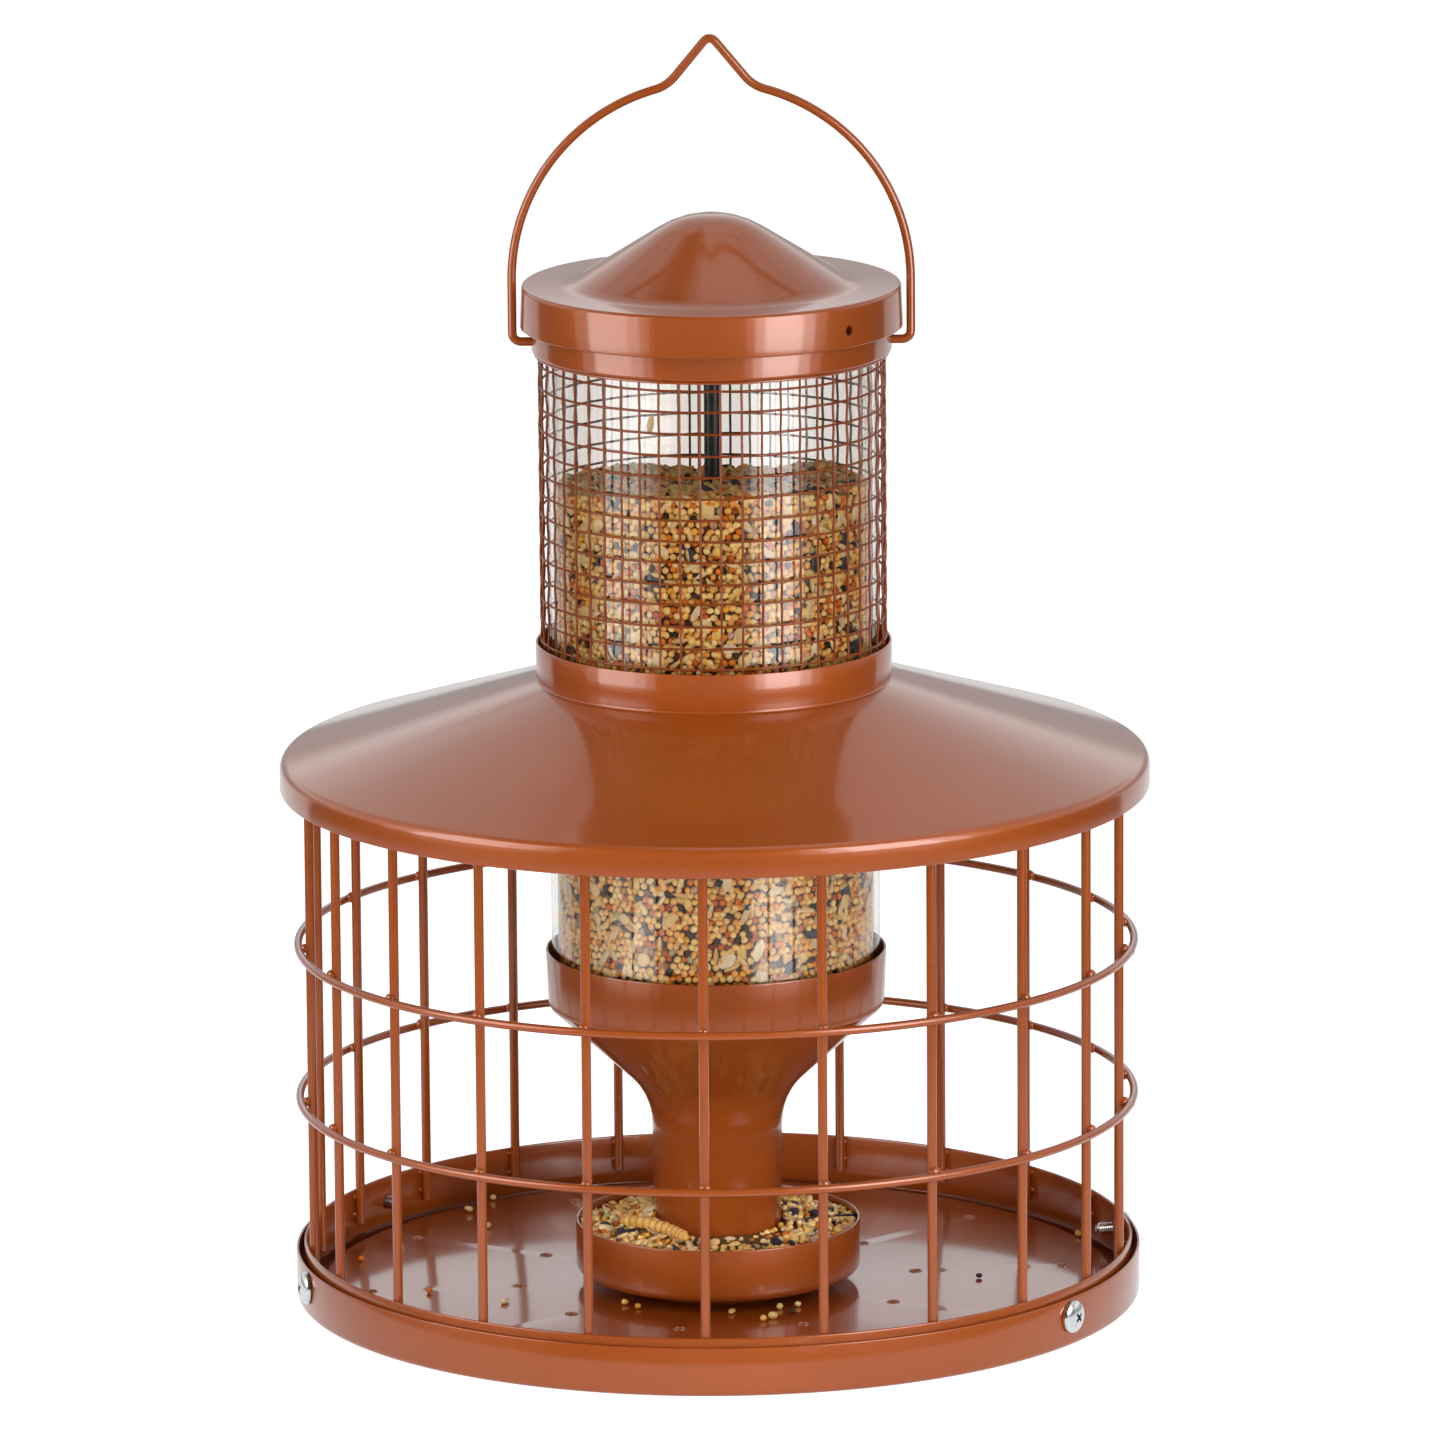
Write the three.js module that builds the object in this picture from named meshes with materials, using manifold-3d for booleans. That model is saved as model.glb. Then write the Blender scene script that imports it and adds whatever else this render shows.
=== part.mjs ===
// Squirrel proof bird feeder. A clear seed tube stands in a funnel whose spout feeds a dish on a round tray.
// A wire guard shields the tube, and a cage under a wide sheet roof lets only small birds reach the dish.
// Millimetres, +Z up. The origin is on the ground, under the middle of the tray; the front faces -Y.

import * as THREE from "three";
import { mergeVertices } from "three/addons/utils/BufferGeometryUtils.js";
import Module from "manifold-3d";

const wasm = await Module();
wasm.setup();

// Shared sizes
const sheet = 0.8; // painted steel sheet
const seat = 0.3; // gap between pieces that touch
const overrun = 3; // how far a cut passes the face that it opens

// Tray
const trayRadius = 128.8;
const trayHeight = 14.5;
const trayFloorLift = 1.8; // underside of the floor above the ground
const trayFootWidth = 4.5; // flat of the pressed ring that the tray stands on
const trayEdgeRound = 1.6;
const trayFootSlope = 2;
const bossRadius = 26; // raised middle that carries the dish
const bossSlope = 4;
const drainRadius = 1.75;
const drainCount = 10; // holes on each of the two circles
const drainInnerCircle = 60.8;
const drainOuterCircle = 106.7;
const drainTurn = THREE.MathUtils.degToRad(-11.2);

// Cage
const bandGap = 1.55; // between the tray wall and the cage's strip band
const bandSheet = 1;
const bandHeight = 13.8;
const wireRadius = 1.45;
const wireCount = 22;
const wireTurn = THREE.MathUtils.degToRad(-1.8); // first wire, from the front towards +X
const wireFootRise = 3.5; // wire ends above the band's lower edge
const lowerRingHeight = 61.9;
const ringPitch = 47.6;
const topRingRise = 3.4; // hidden ring above the eave

// Tray screws, each in the middle of a gap between two wires
const screwGaps = [3, 6, 14, 17];
const screwHeight = 9.3;
const screwShankRadius = 2;
const screwHeadRadius = 5;
const screwHeadHeight = 2.6;
const screwHeadEdge = 0.5;
const screwReach = 5; // threaded end inside the band

// Dish
const dishRadius = 43.4;
const dishHeight = 16;
const dishLift = 5.9; // underside of the dish above the ground
const dishRound = 3;

// Funnel
const spoutFootRadius = 19.1;
const spoutTopRadius = 20;
const throatHeight = 54.4; // from the spout's foot to where the cone would meet the spout
const throatRound = 22;
const coneHeight = 28.5;
const cupHeight = 16.6;
const cupFlare = 0.7;
const portWidth = 12;
const portHeight = 13;

// Seed tube
const tubeRadius = 50;
const tubeWall = 2;
const tubeAbovePivot = 1.7; // tube's top edge above the bail's pivot

// Rod through the stack, and what clamps it
const rodRadius = 2.5;
const washerRadius = 8;
const washerThickness = 1;
const footNutHeight = 2.7;
const topNutHeight = 4;
const nutAcrossFlats = 8;
const rodEnd = 3; // rod above its top nut
const bridgeWidth = 12;
const bridgeThickness = 1.5;
const bridgeLip = 4;

// Roof
const roofSideGap = 2.75; // between the cage rings and the roof's rim
const eaveHeight = 158.4;
const roofRimHeight = 8.2;
const roofRimRound = 3;
const roofRise = 24.1;
const neckRound = 0.6;
const neckHeight = 0.9;
const neckShoulder = 0.7; // step that carries the guard's lower ring
const spigotHeight = 5.4;

// Wire guard round the tube
const tubeGuardGap = 1.5;
const guardWire = 1.1;
const guardWires = 24;
const guardRows = 8;
const guardFit = 0.5; // guard inside its ring and collar
const guardRingHeight = 10.2;
const guardShownHeight = 89.3; // between the lower ring and the collar

// Collar and lid
const collarSlack = 0.5;
const collarLip = 1.1;
const collarRound = 1.2;
const pivotRise = 2.9; // bail's pivot above the collar's lower edge
const lidRise = 8.2; // lid's lower edge above the collar's
const lidSlack = 2.55; // between the collar and the lid's rim
const lidRimHeight = 12.3;
const lidDraft = 0.55;
const lidEdgeRound = 1.2;
const lidConeRadius = 43; // where the cone would meet the flat
const lidConeSlope = THREE.MathUtils.degToRad(31.8);
const lidFilletRound = 12;
const lidDomeRound = 30.4;
const lidHoleRadius = 1.5;
const lidHoleRise = 4.7;
const lidHoleTurn = THREE.MathUtils.degToRad(45.5);

// Bail
const bailWire = 1.35;
const bailGap = 0.9; // between the lid's rim and the bail's legs
const bailBend = 3;
const bowRise = 18.8; // straight part of each leg
const shoulderTurn = THREE.MathUtils.degToRad(77.5); // where the round bow ends
const shoulderBend = 4;
const peakSlope = THREE.MathUtils.degToRad(50.4);
const peakBend = 3;

// Seed
const seedGap = 42.1; // from the tube's top edge down to the seed
const dishSeedEdge = 17.5;
const dishSeedHeap = 22;

// Facets
const wideFacets = 44;
const tubeFacets = 36;
const smallFacets = 28;
const screwFacets = 10;
const wireSides = 8;
const ringSides = 6;
const boltSides = 12;
const bendStep = THREE.MathUtils.degToRad(45);
const bailDivisions = 8;

const paint = new THREE.MeshStandardMaterial({ color: 0x96502f, roughness: 0.32, metalness: 0.35 });
const clear = new THREE.MeshStandardMaterial({
  color: 0xf2f6f6, roughness: 0.08, metalness: 0, transparent: true, opacity: 0.25,
});
const black = new THREE.MeshStandardMaterial({ color: 0x1c1f22, roughness: 0.4, metalness: 0.4 });
const plated = new THREE.MeshStandardMaterial({ color: 0xc9ccd0, roughness: 0.25, metalness: 1 });
const grain = new THREE.MeshStandardMaterial({ color: 0xb07a45, roughness: 0.75, metalness: 0 });

const feeder = new THREE.Group();

// A closed geometry as a solid, whichever way round its outline was listed.
function solidFrom(geometry) {
  const bare = geometry.clone();
  bare.deleteAttribute("normal");
  bare.deleteAttribute("uv");
  const merged = mergeVertices(bare, 1e-4);
  const corners = merged.index.array;
  const faces = [];
  for (let i = 0; i < corners.length; i += 3) {
    const [a, b, c] = [corners[i], corners[i + 1], corners[i + 2]];
    if (a !== b && b !== c && c !== a) faces.push(a, b, c);
  }
  const build = (triVerts) => new wasm.Manifold(new wasm.Mesh({
    numProp: 3,
    vertProperties: merged.attributes.position.array,
    triVerts: new Uint32Array(triVerts),
  }));
  const solid = build(faces);
  return solid.volume() > 0 ? solid : build(faces.reverse());
}

function add(name, solid, material, parent = feeder) {
  const { vertProperties, triVerts } = solid.getMesh();
  const geometry = new THREE.BufferGeometry();
  geometry.setAttribute("position", new THREE.BufferAttribute(vertProperties, 3));
  geometry.setIndex(new THREE.BufferAttribute(triVerts, 1));
  geometry.computeVertexNormals();
  const mesh = new THREE.Mesh(geometry, material);
  mesh.name = name;
  parent.add(mesh);
  return mesh;
}

// A corner chain as a path: a corner is [x, y] or [x, y, radius], and the radius rounds it.
function rounded(corners) {
  const path = [];
  corners.forEach(([x, y, radius = 0], i) => {
    const tip = new THREE.Vector2(x, y);
    if (!radius) {
      path.push(tip);
      return;
    }
    const back = new THREE.Vector2(...corners[i - 1]).sub(tip);
    const ahead = new THREE.Vector2(...corners[i + 1]).sub(tip);
    const room = Math.min(back.length(), ahead.length());
    const half = back.normalize().angleTo(ahead.normalize()) / 2;
    const bend = Math.min(radius, room * Math.tan(half));
    const centre = back.clone().add(ahead).normalize().multiplyScalar(bend / Math.sin(half)).add(tip);
    const from = back.multiplyScalar(bend / Math.tan(half)).add(tip).sub(centre).angle();
    const to = ahead.multiplyScalar(bend / Math.tan(half)).add(tip).sub(centre).angle();
    const sweep = Math.atan2(Math.sin(to - from), Math.cos(to - from));
    const steps = Math.ceil(Math.abs(sweep) / bendStep);
    for (let k = 0; k <= steps; k++) {
      const turn = from + (sweep * k) / steps;
      path.push(new THREE.Vector2(Math.cos(turn), Math.sin(turn)).multiplyScalar(bend).add(centre));
    }
  });
  return path;
}

// The path moved sideways by a distance, to its left, with its bends kept parallel.
function offset(path, distance) {
  const left = (a, b) => new THREE.Vector2(a.y - b.y, b.x - a.x).normalize();
  return path.map((point, i) => {
    const before = left(path[Math.max(i - 1, 0)], path[Math.max(i, 1)]);
    const after = left(path[Math.min(i, path.length - 2)], path[Math.min(i + 1, path.length - 1)]);
    const shift = before.clone().add(after).multiplyScalar(distance / (1 + before.dot(after)));
    return point.clone().add(shift);
  });
}

// The section of a sheet whose first face is the path and whose second face lies on the path's left.
function sheetSection(path, thickness) {
  return [...path, ...offset(path, thickness).reverse()];
}

// A section of [radius, height] points turned round the Z axis. Its facets start at a turn from the front.
function revolve(section, facets, turn = 0) {
  const points = section.map((p) => (Array.isArray(p) ? new THREE.Vector2(...p) : p));
  const solidCore = points[0].x === 0 && points.at(-1).x === 0;
  const outline = solidCore ? points : [...points, points[0]];
  return solidFrom(new THREE.LatheGeometry(outline, facets, turn).rotateX(Math.PI / 2));
}

function ringSection(inner, outer, low, high) {
  return [[inner, low], [outer, low], [outer, high], [inner, high]];
}

function cylinder(radius, low, high, sides, x = 0, y = 0) {
  const geometry = new THREE.CylinderGeometry(radius, radius, high - low, sides);
  return solidFrom(geometry.rotateX(Math.PI / 2).translate(x, y, (low + high) / 2));
}

// A round cut along a radius of the feeder, from one distance to another, at a turn from the front.
function radialHole(radius, near, far, height, turn, sides = boltSides) {
  const geometry = new THREE.CylinderGeometry(radius, radius, far - near, sides);
  geometry.translate(0, -(near + far) / 2, 0).rotateZ(turn).translate(0, 0, height);
  return solidFrom(geometry);
}

function around(radius, turn, height) {
  return [radius * Math.sin(turn), -radius * Math.cos(turn), height];
}

// The tray is one pressed sheet: a rim, a foot ring, a raised floor, and a boss under the dish.
const dishFloor = dishLift + sheet;
const bossTop = dishLift - seat;
const rodHole = rodRadius + seat;
const floorTop = trayFloorLift + sheet;
const footOuter = trayRadius - trayEdgeRound;
const footInner = footOuter - trayFootWidth;
const bandOuter = trayRadius - sheet - bandGap;
const bandInner = bandOuter - bandSheet;
const wireCircle = bandInner - seat - wireRadius;
const bandFoot = floorTop + seat;
const gapTurn = (2 * Math.PI) / wireCount;
const screwTurns = screwGaps.map((gap) => wireTurn + (gap + 1 / 2) * gapTurn);

function cutScrewHoles(solid) {
  return screwTurns.reduce((left, turn) => left.subtract(
    radialHole(screwShankRadius + seat, bandInner - overrun, trayRadius + overrun, screwHeight, turn),
  ), solid);
}

function makeTray() {
  const path = rounded([
    [rodHole, bossTop - sheet],
    [bossRadius, bossTop - sheet],
    [bossRadius + bossSlope, trayFloorLift],
    [footInner - trayFootSlope, trayFloorLift],
    [footInner, 0],
    [trayRadius, 0, trayEdgeRound],
    [trayRadius, trayHeight],
  ]);
  let tray = cutScrewHoles(revolve(sheetSection(path, sheet), wideFacets, wireTurn));
  for (const circle of [drainInnerCircle, drainOuterCircle]) {
    for (let i = 0; i < drainCount; i++) {
      const [x, y] = around(circle, drainTurn + (i * 2 * Math.PI) / drainCount, 0);
      const hole = cylinder(drainRadius, trayFloorLift - overrun, floorTop + overrun, ringSides, x, y);
      tray = tray.subtract(hole);
    }
  }
  add("tray", tray, paint);
}
makeTray();

// The cage: a strip band inside the tray's rim, upright wires welded to it, and rings round the wires.
const ringCircle = wireCircle + 2 * wireRadius + seat;
const roofRadius = ringCircle + wireRadius + roofSideGap + sheet;
const creaseHeight = eaveHeight + roofRimHeight;
const guardOuter = tubeRadius + tubeGuardGap + guardWire;
const guardRingInner = guardOuter + guardFit;
const spigotRadius = guardRingInner - seat;
const neckShoulderRadius = spigotRadius + neckShoulder;
const coneRun = roofRadius - neckShoulderRadius;
const coneLean = Math.atan2(roofRise, coneRun);
const underRoof = (radius) => creaseHeight + (roofRadius - radius) * Math.tan(coneLean)
  - sheet / Math.cos(coneLean);
const wireTop = underRoof(wireCircle + wireRadius) - seat;
const wireFoot = bandFoot + wireFootRise;

function makeCage() {
  const cage = new THREE.Group();
  feeder.add(cage);
  const band = ringSection(bandInner, bandOuter, bandFoot, bandFoot + bandHeight);
  add("cage_band", cutScrewHoles(revolve(band, wideFacets, wireTurn)), paint, cage);

  const torus = new THREE.TorusGeometry(ringCircle, wireRadius, ringSides, 2 * wireCount);
  const ring = solidFrom(torus.rotateZ(wireTurn - Math.PI / 2));
  add("cage_ring_lower", ring, paint, cage).position.z = lowerRingHeight;
  add("cage_ring_upper", ring, paint, cage).position.z = lowerRingHeight + ringPitch;
  add("cage_ring_top", ring, paint, cage).position.z = eaveHeight + topRingRise;

  const wire = cylinder(wireRadius, wireFoot, wireTop, wireSides);
  for (let i = 0; i < wireCount; i++) {
    const turn = wireTurn + i * gapTurn;
    const upright = add("cage_wire_" + String(i + 1).padStart(2, "0"), wire, paint, cage);
    upright.rotation.z = turn;
    upright.position.set(...around(wireCircle, turn, 0));
  }
}
makeCage();

// Truss head screws hold the band to the tray's rim.
function makeScrews() {
  const headSeat = trayRadius + seat;
  const section = [
    [0, -headSeat - screwHeadHeight],
    [screwHeadRadius / 2, -headSeat - screwHeadHeight + (screwHeadHeight - screwHeadEdge) / 4],
    [screwHeadRadius, -headSeat - screwHeadEdge],
    [screwHeadRadius, -headSeat],
    [screwShankRadius, -headSeat],
    [screwShankRadius, -bandInner + screwReach],
    [0, -bandInner + screwReach],
  ];
  const points = section.map((p) => new THREE.Vector2(...p));
  const screw = solidFrom(new THREE.LatheGeometry(points, screwFacets));
  screwTurns.forEach((turn, i) => {
    const mesh = add("tray_screw_" + (i + 1), screw, plated);
    mesh.rotation.z = turn;
    mesh.position.z = screwHeight;
  });
}
makeScrews();

// The dish stands on the tray's boss.
const dishPath = rounded([
  [rodHole, dishLift],
  [dishRadius, dishLift, dishRound],
  [dishRadius, dishLift + dishHeight],
]);
add("seed_dish", revolve(sheetSection(dishPath, sheet), smallFacets), paint);

// The funnel's spout stands in the dish, with arched ports at its foot, and its cup holds the tube.
const spoutFoot = dishFloor + seat;
const throat = spoutFoot + throatHeight;
const cupRadius = tubeRadius + seat + sheet;
const cupFoot = throat + coneHeight;
const funnelPath = rounded([
  [spoutFootRadius, spoutFoot],
  [spoutTopRadius, throat, throatRound],
  [cupRadius, cupFoot],
  [cupRadius + cupFlare, cupFoot + cupHeight],
]);
const spoutRadius = (height) => THREE.MathUtils.mapLinear(
  height, spoutFoot, throat, spoutFootRadius, spoutTopRadius,
);

function makeFunnel() {
  const arch = new THREE.Shape();
  const springing = spoutFoot + portHeight - portWidth / 2;
  arch.moveTo(-portWidth / 2, spoutFoot - overrun);
  arch.lineTo(portWidth / 2, spoutFoot - overrun);
  arch.lineTo(portWidth / 2, springing);
  arch.absarc(0, springing, portWidth / 2, 0, Math.PI);
  const depth = 2 * (spoutTopRadius + overrun);
  let funnel = revolve(sheetSection(funnelPath, sheet), smallFacets);
  for (const turn of [1 / 8, 3 / 8]) {
    const cut = new THREE.ExtrudeGeometry(arch, { depth, bevelEnabled: false, curveSegments: ringSides });
    cut.translate(0, 0, -depth / 2).rotateX(Math.PI / 2).rotateZ(turn * 2 * Math.PI);
    funnel = funnel.subtract(solidFrom(cut));
  }
  add("funnel", funnel, paint);
}
makeFunnel();

// The roof rests on the wires' tops. Its neck ends in a spigot inside the guard's lower ring.
const neckFoot = creaseHeight + roofRise;
const shoulderHeight = neckFoot + neckHeight;
const spigotTop = shoulderHeight + spigotHeight;

function makeRoof() {
  const path = rounded([
    [roofRadius, eaveHeight],
    [roofRadius, creaseHeight, roofRimRound],
    [neckShoulderRadius, neckFoot, neckRound],
    [neckShoulderRadius, shoulderHeight],
    [spigotRadius, shoulderHeight],
    [spigotRadius, spigotTop],
  ]);
  add("roof", revolve(sheetSection(path, sheet), wideFacets, wireTurn), paint);
}
makeRoof();

// The guard's lower ring sits on the neck's shoulder; the wire guard stands on the spigot inside it.
const guardRingFoot = shoulderHeight + seat;
const collarFoot = guardRingFoot + guardRingHeight + guardShownHeight;
const pivotHeight = collarFoot + pivotRise;

const guardRing = ringSection(
  guardRingInner, guardRingInner + sheet, guardRingFoot, guardRingFoot + guardRingHeight,
);
add("guard_ring", revolve(guardRing, tubeFacets), paint);

// A sleeve of crossing wires as one closed surface: strips on two radii, joined round each opening.
function wireSleeve(inner, outer, wire, wires, rowHeights, turn) {
  const halfWire = Math.asin(wire / (2 * outer));
  const turns = [];
  for (let i = 0; i < wires; i++) {
    const middle = turn + (i * 2 * Math.PI) / wires;
    turns.push(middle - halfWire, middle + halfWire);
  }
  const heights = rowHeights.flatMap((z) => [z - wire / 2, z + wire / 2]);
  const at = (radius, i, j) => around(radius, turns[i % turns.length], heights[j]);
  const positions = [];
  const face = (a, b, c, d) => positions.push(...a, ...b, ...c, ...a, ...c, ...d);
  const isSolid = (i, j) => j >= 0 && j < heights.length - 1 && (i % 2 === 0 || j % 2 === 0);
  for (let i = 0; i < turns.length; i++) {
    for (let j = 0; j < heights.length - 1; j++) {
      if (!isSolid(i, j)) continue;
      face(at(outer, i, j), at(outer, i + 1, j), at(outer, i + 1, j + 1), at(outer, i, j + 1));
      face(at(inner, i, j + 1), at(inner, i + 1, j + 1), at(inner, i + 1, j), at(inner, i, j));
      if (!isSolid(i, j + 1)) {
        face(at(outer, i, j + 1), at(outer, i + 1, j + 1), at(inner, i + 1, j + 1), at(inner, i, j + 1));
      }
      if (!isSolid(i, j - 1)) {
        face(at(inner, i, j), at(inner, i + 1, j), at(outer, i + 1, j), at(outer, i, j));
      }
      if (!isSolid(i + 1, j)) {
        face(at(outer, i + 1, j), at(inner, i + 1, j), at(inner, i + 1, j + 1), at(outer, i + 1, j + 1));
      }
      if (!isSolid(i + turns.length - 1, j)) {
        face(at(inner, i, j), at(outer, i, j), at(outer, i, j + 1), at(inner, i, j + 1));
      }
    }
  }
  const geometry = new THREE.BufferGeometry();
  geometry.setAttribute("position", new THREE.Float32BufferAttribute(positions, 3));
  return solidFrom(geometry);
}

// The rows are spaced so that the bail's ends pass through the middle of two openings.
function makeGuard() {
  const lowest = spigotTop + seat + guardWire / 2;
  const pitch = (pivotHeight - lowest) / (guardRows - 3 / 2);
  const rows = Array.from({ length: guardRows }, (_, i) => lowest + i * pitch);
  const turn = Math.PI / 2 + Math.PI / guardWires;
  const sleeve = wireSleeve(guardOuter - guardWire, guardOuter, guardWire, guardWires, rows, turn);
  add("wire_guard", sleeve, paint);
}
makeGuard();

// The collar closes the guard's top and carries the bail; the lid drops over it.
const collarInner = guardRingInner + collarSlack;
const collarRadius = collarInner + sheet;
const lidFoot = collarFoot + lidRise;
const lidFlat = lidFoot + lidRimHeight;
const lidRadius = collarRadius + lidSlack + sheet;

function makeCollar() {
  const path = rounded([
    [collarRadius - collarLip, collarFoot],
    [collarRadius, collarFoot, collarRound],
    [collarRadius, lidFlat - sheet - seat],
  ]);
  const bore = bailWire + seat;
  const collar = [-1, 1].reduce((left, side) => left.subtract(radialHole(
    bore, collarInner - overrun, collarRadius + overrun, pivotHeight, (side * Math.PI) / 2,
  )), revolve(sheetSection(path, sheet), tubeFacets));
  add("top_collar", collar, paint);
}
makeCollar();

function makeLid() {
  const coneTop = lidFlat + lidConeRadius * Math.tan(lidConeSlope);
  const path = rounded([
    [lidRadius, lidFoot],
    [lidRadius - lidDraft, lidFlat, lidEdgeRound],
    [lidConeRadius, lidFlat, lidFilletRound],
    [0, coneTop],
  ]);
  path.pop();
  const domeMiddle = coneTop - lidDomeRound / Math.cos(lidConeSlope);
  const steps = Math.ceil((2 * lidConeSlope) / bendStep);
  const dome = (radius) => Array.from({ length: steps + 1 }, (_, i) => {
    const lean = lidConeSlope * (1 - i / steps);
    return new THREE.Vector2(i < steps ? radius * Math.sin(lean) : 0, domeMiddle + radius * Math.cos(lean));
  });
  const outside = [...path, ...dome(lidDomeRound)];
  const inside = [...offset(outside, sheet).slice(0, path.length), ...dome(lidDomeRound - sheet)];
  const lid = [0, Math.PI].reduce((left, turn) => left.subtract(radialHole(
    lidHoleRadius, collarRadius, lidRadius + overrun, lidFoot + lidHoleRise, lidHoleTurn + turn,
  )), solidFrom(new THREE.LatheGeometry([...inside.reverse(), ...outside], tubeFacets).rotateX(Math.PI / 2)));
  add("lid", lid, paint);
}
makeLid();

// The clear tube stands in the funnel's cup and ends just above the bail's pivot.
const coneSlope = (cupFoot - throat) / (cupRadius - spoutTopRadius);
const tubeFoot = cupFoot + sheet * Math.tan(Math.atan(1 / coneSlope) / 2) + seat;
const tubeTop = pivotHeight + tubeAbovePivot;
const tubeInner = tubeRadius - tubeWall;
add("seed_tube", revolve(ringSection(tubeInner, tubeRadius, tubeFoot, tubeTop), tubeFacets), clear);

// A rod runs from under the tray to a strip across the tube's top, and clamps dish, funnel and tube together.
const footWasherTop = bossTop - sheet - seat;
const footNutTop = footWasherTop - washerThickness - seat;
const rodFoot = footNutTop - footNutHeight;
const bridgeFoot = tubeTop + seat;
const topNutFoot = bridgeFoot + bridgeThickness + seat;
const rodTop = topNutFoot + topNutHeight + rodEnd;

function nut(height) {
  const hexagon = new THREE.Shape();
  const cornerRadius = nutAcrossFlats / Math.sqrt(3);
  for (let i = 0; i < ringSides; i++) {
    const turn = (i * 2 * Math.PI) / ringSides;
    hexagon[i ? "lineTo" : "moveTo"](cornerRadius * Math.cos(turn), cornerRadius * Math.sin(turn));
  }
  hexagon.holes.push(new THREE.Path().absarc(0, 0, rodHole, 0, 2 * Math.PI, true));
  return solidFrom(new THREE.ExtrudeGeometry(hexagon, {
    depth: height, bevelEnabled: false, curveSegments: boltSides,
  }));
}

function makeBridge() {
  const half = bridgeWidth / 2;
  const reach = Math.sqrt(tubeRadius ** 2 - half ** 2);
  const lipOut = Math.sqrt((tubeInner - seat) ** 2 - half ** 2);
  const lipIn = lipOut - bridgeThickness;
  const side = [[reach, bridgeFoot + bridgeThickness], [reach, bridgeFoot], [lipOut, bridgeFoot],
    [lipOut, bridgeFoot - bridgeLip], [lipIn, bridgeFoot - bridgeLip], [lipIn, bridgeFoot]];
  const outline = [...side, ...side.map(([y, z]) => [-y, z]).reverse()];
  const shape = new THREE.Shape(outline.map((p) => new THREE.Vector2(...p)));
  const strip = new THREE.ExtrudeGeometry(shape, { depth: bridgeWidth, bevelEnabled: false });
  strip.translate(0, 0, -half).rotateX(Math.PI / 2).rotateZ(Math.PI / 2);
  const hole = cylinder(rodHole, bridgeFoot - overrun, bridgeFoot + bridgeThickness + overrun, boltSides);
  add("tube_bridge", solidFrom(strip).subtract(hole), plated);
}

function makeRod() {
  const washer = ringSection(rodHole, washerRadius, -washerThickness, 0);
  add("centre_rod", cylinder(rodRadius, rodFoot, rodTop, boltSides), black);
  add("rod_washer", revolve(washer, 2 * boltSides), plated).position.z = footWasherTop;
  add("rod_nut_bottom", nut(footNutHeight), plated).position.z = rodFoot;
  add("rod_nut_top", nut(topNutHeight), plated).position.z = topNutFoot;
}
makeRod();
makeBridge();

// A wire's centre line as a chain of points, so that each bend gets the steps that it needs.
class Chain extends THREE.Curve {
  constructor(points) {
    super();
    this.points = points;
  }

  getPoint(t, target = new THREE.Vector3()) {
    const place = t * (this.points.length - 1);
    const i = Math.min(Math.floor(place), this.points.length - 2);
    return target.lerpVectors(this.points[i], this.points[i + 1], place - i);
  }

  getPointAt(u, target) {
    return this.getPoint(u, target);
  }

  getTangentAt(u, target) {
    return this.getTangent(u, target);
  }
}

// The bail: bent-in ends, straight legs, a round bow, and a peak that centres itself on a hook.
function makeBail() {
  const leg = lidRadius + bailGap + bailWire;
  const bowMiddle = pivotHeight + bowRise;
  const shoulder = new THREE.Vector2(Math.cos(shoulderTurn), Math.sin(shoulderTurn)).multiplyScalar(leg);
  const peakHeight = bowMiddle + shoulder.y + shoulder.x * Math.tan(peakSlope);
  const bendShare = shoulderBend / leg;
  const along = (distance) => [
    shoulder.x - distance * Math.cos(peakSlope),
    bowMiddle + shoulder.y + distance * Math.sin(peakSlope),
  ];
  const peak = along(shoulder.x / Math.cos(peakSlope) - peakBend);
  const half = new THREE.Path();
  half.moveTo(tubeRadius + 2 * seat, pivotHeight);
  half.lineTo(leg - bailBend, pivotHeight);
  half.quadraticCurveTo(leg, pivotHeight, leg, pivotHeight + bailBend);
  half.lineTo(leg, bowMiddle);
  half.absarc(0, bowMiddle, leg, 0, shoulderTurn - bendShare);
  half.quadraticCurveTo(shoulder.x, bowMiddle + shoulder.y, ...along(shoulderBend));
  half.lineTo(...peak);
  half.quadraticCurveTo(0, peakHeight, -peak[0], peak[1]);
  const points = half.getPoints(bailDivisions).filter((p) => p.x > 0);
  const right = points.map((p) => new THREE.Vector3(p.x, 0, p.y));
  const left = points.map((p) => new THREE.Vector3(-p.x, 0, p.y)).reverse();
  const circle = new THREE.EllipseCurve(0, 0, bailWire, bailWire).getPoints(wireSides).slice(1);
  const chain = new Chain([...right, ...left]);
  const bow = new THREE.ExtrudeGeometry(new THREE.Shape(circle), {
    steps: chain.points.length - 1, bevelEnabled: false, extrudePath: chain,
  });
  add("bail", solidFrom(bow), paint);
}
makeBail();

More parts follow.
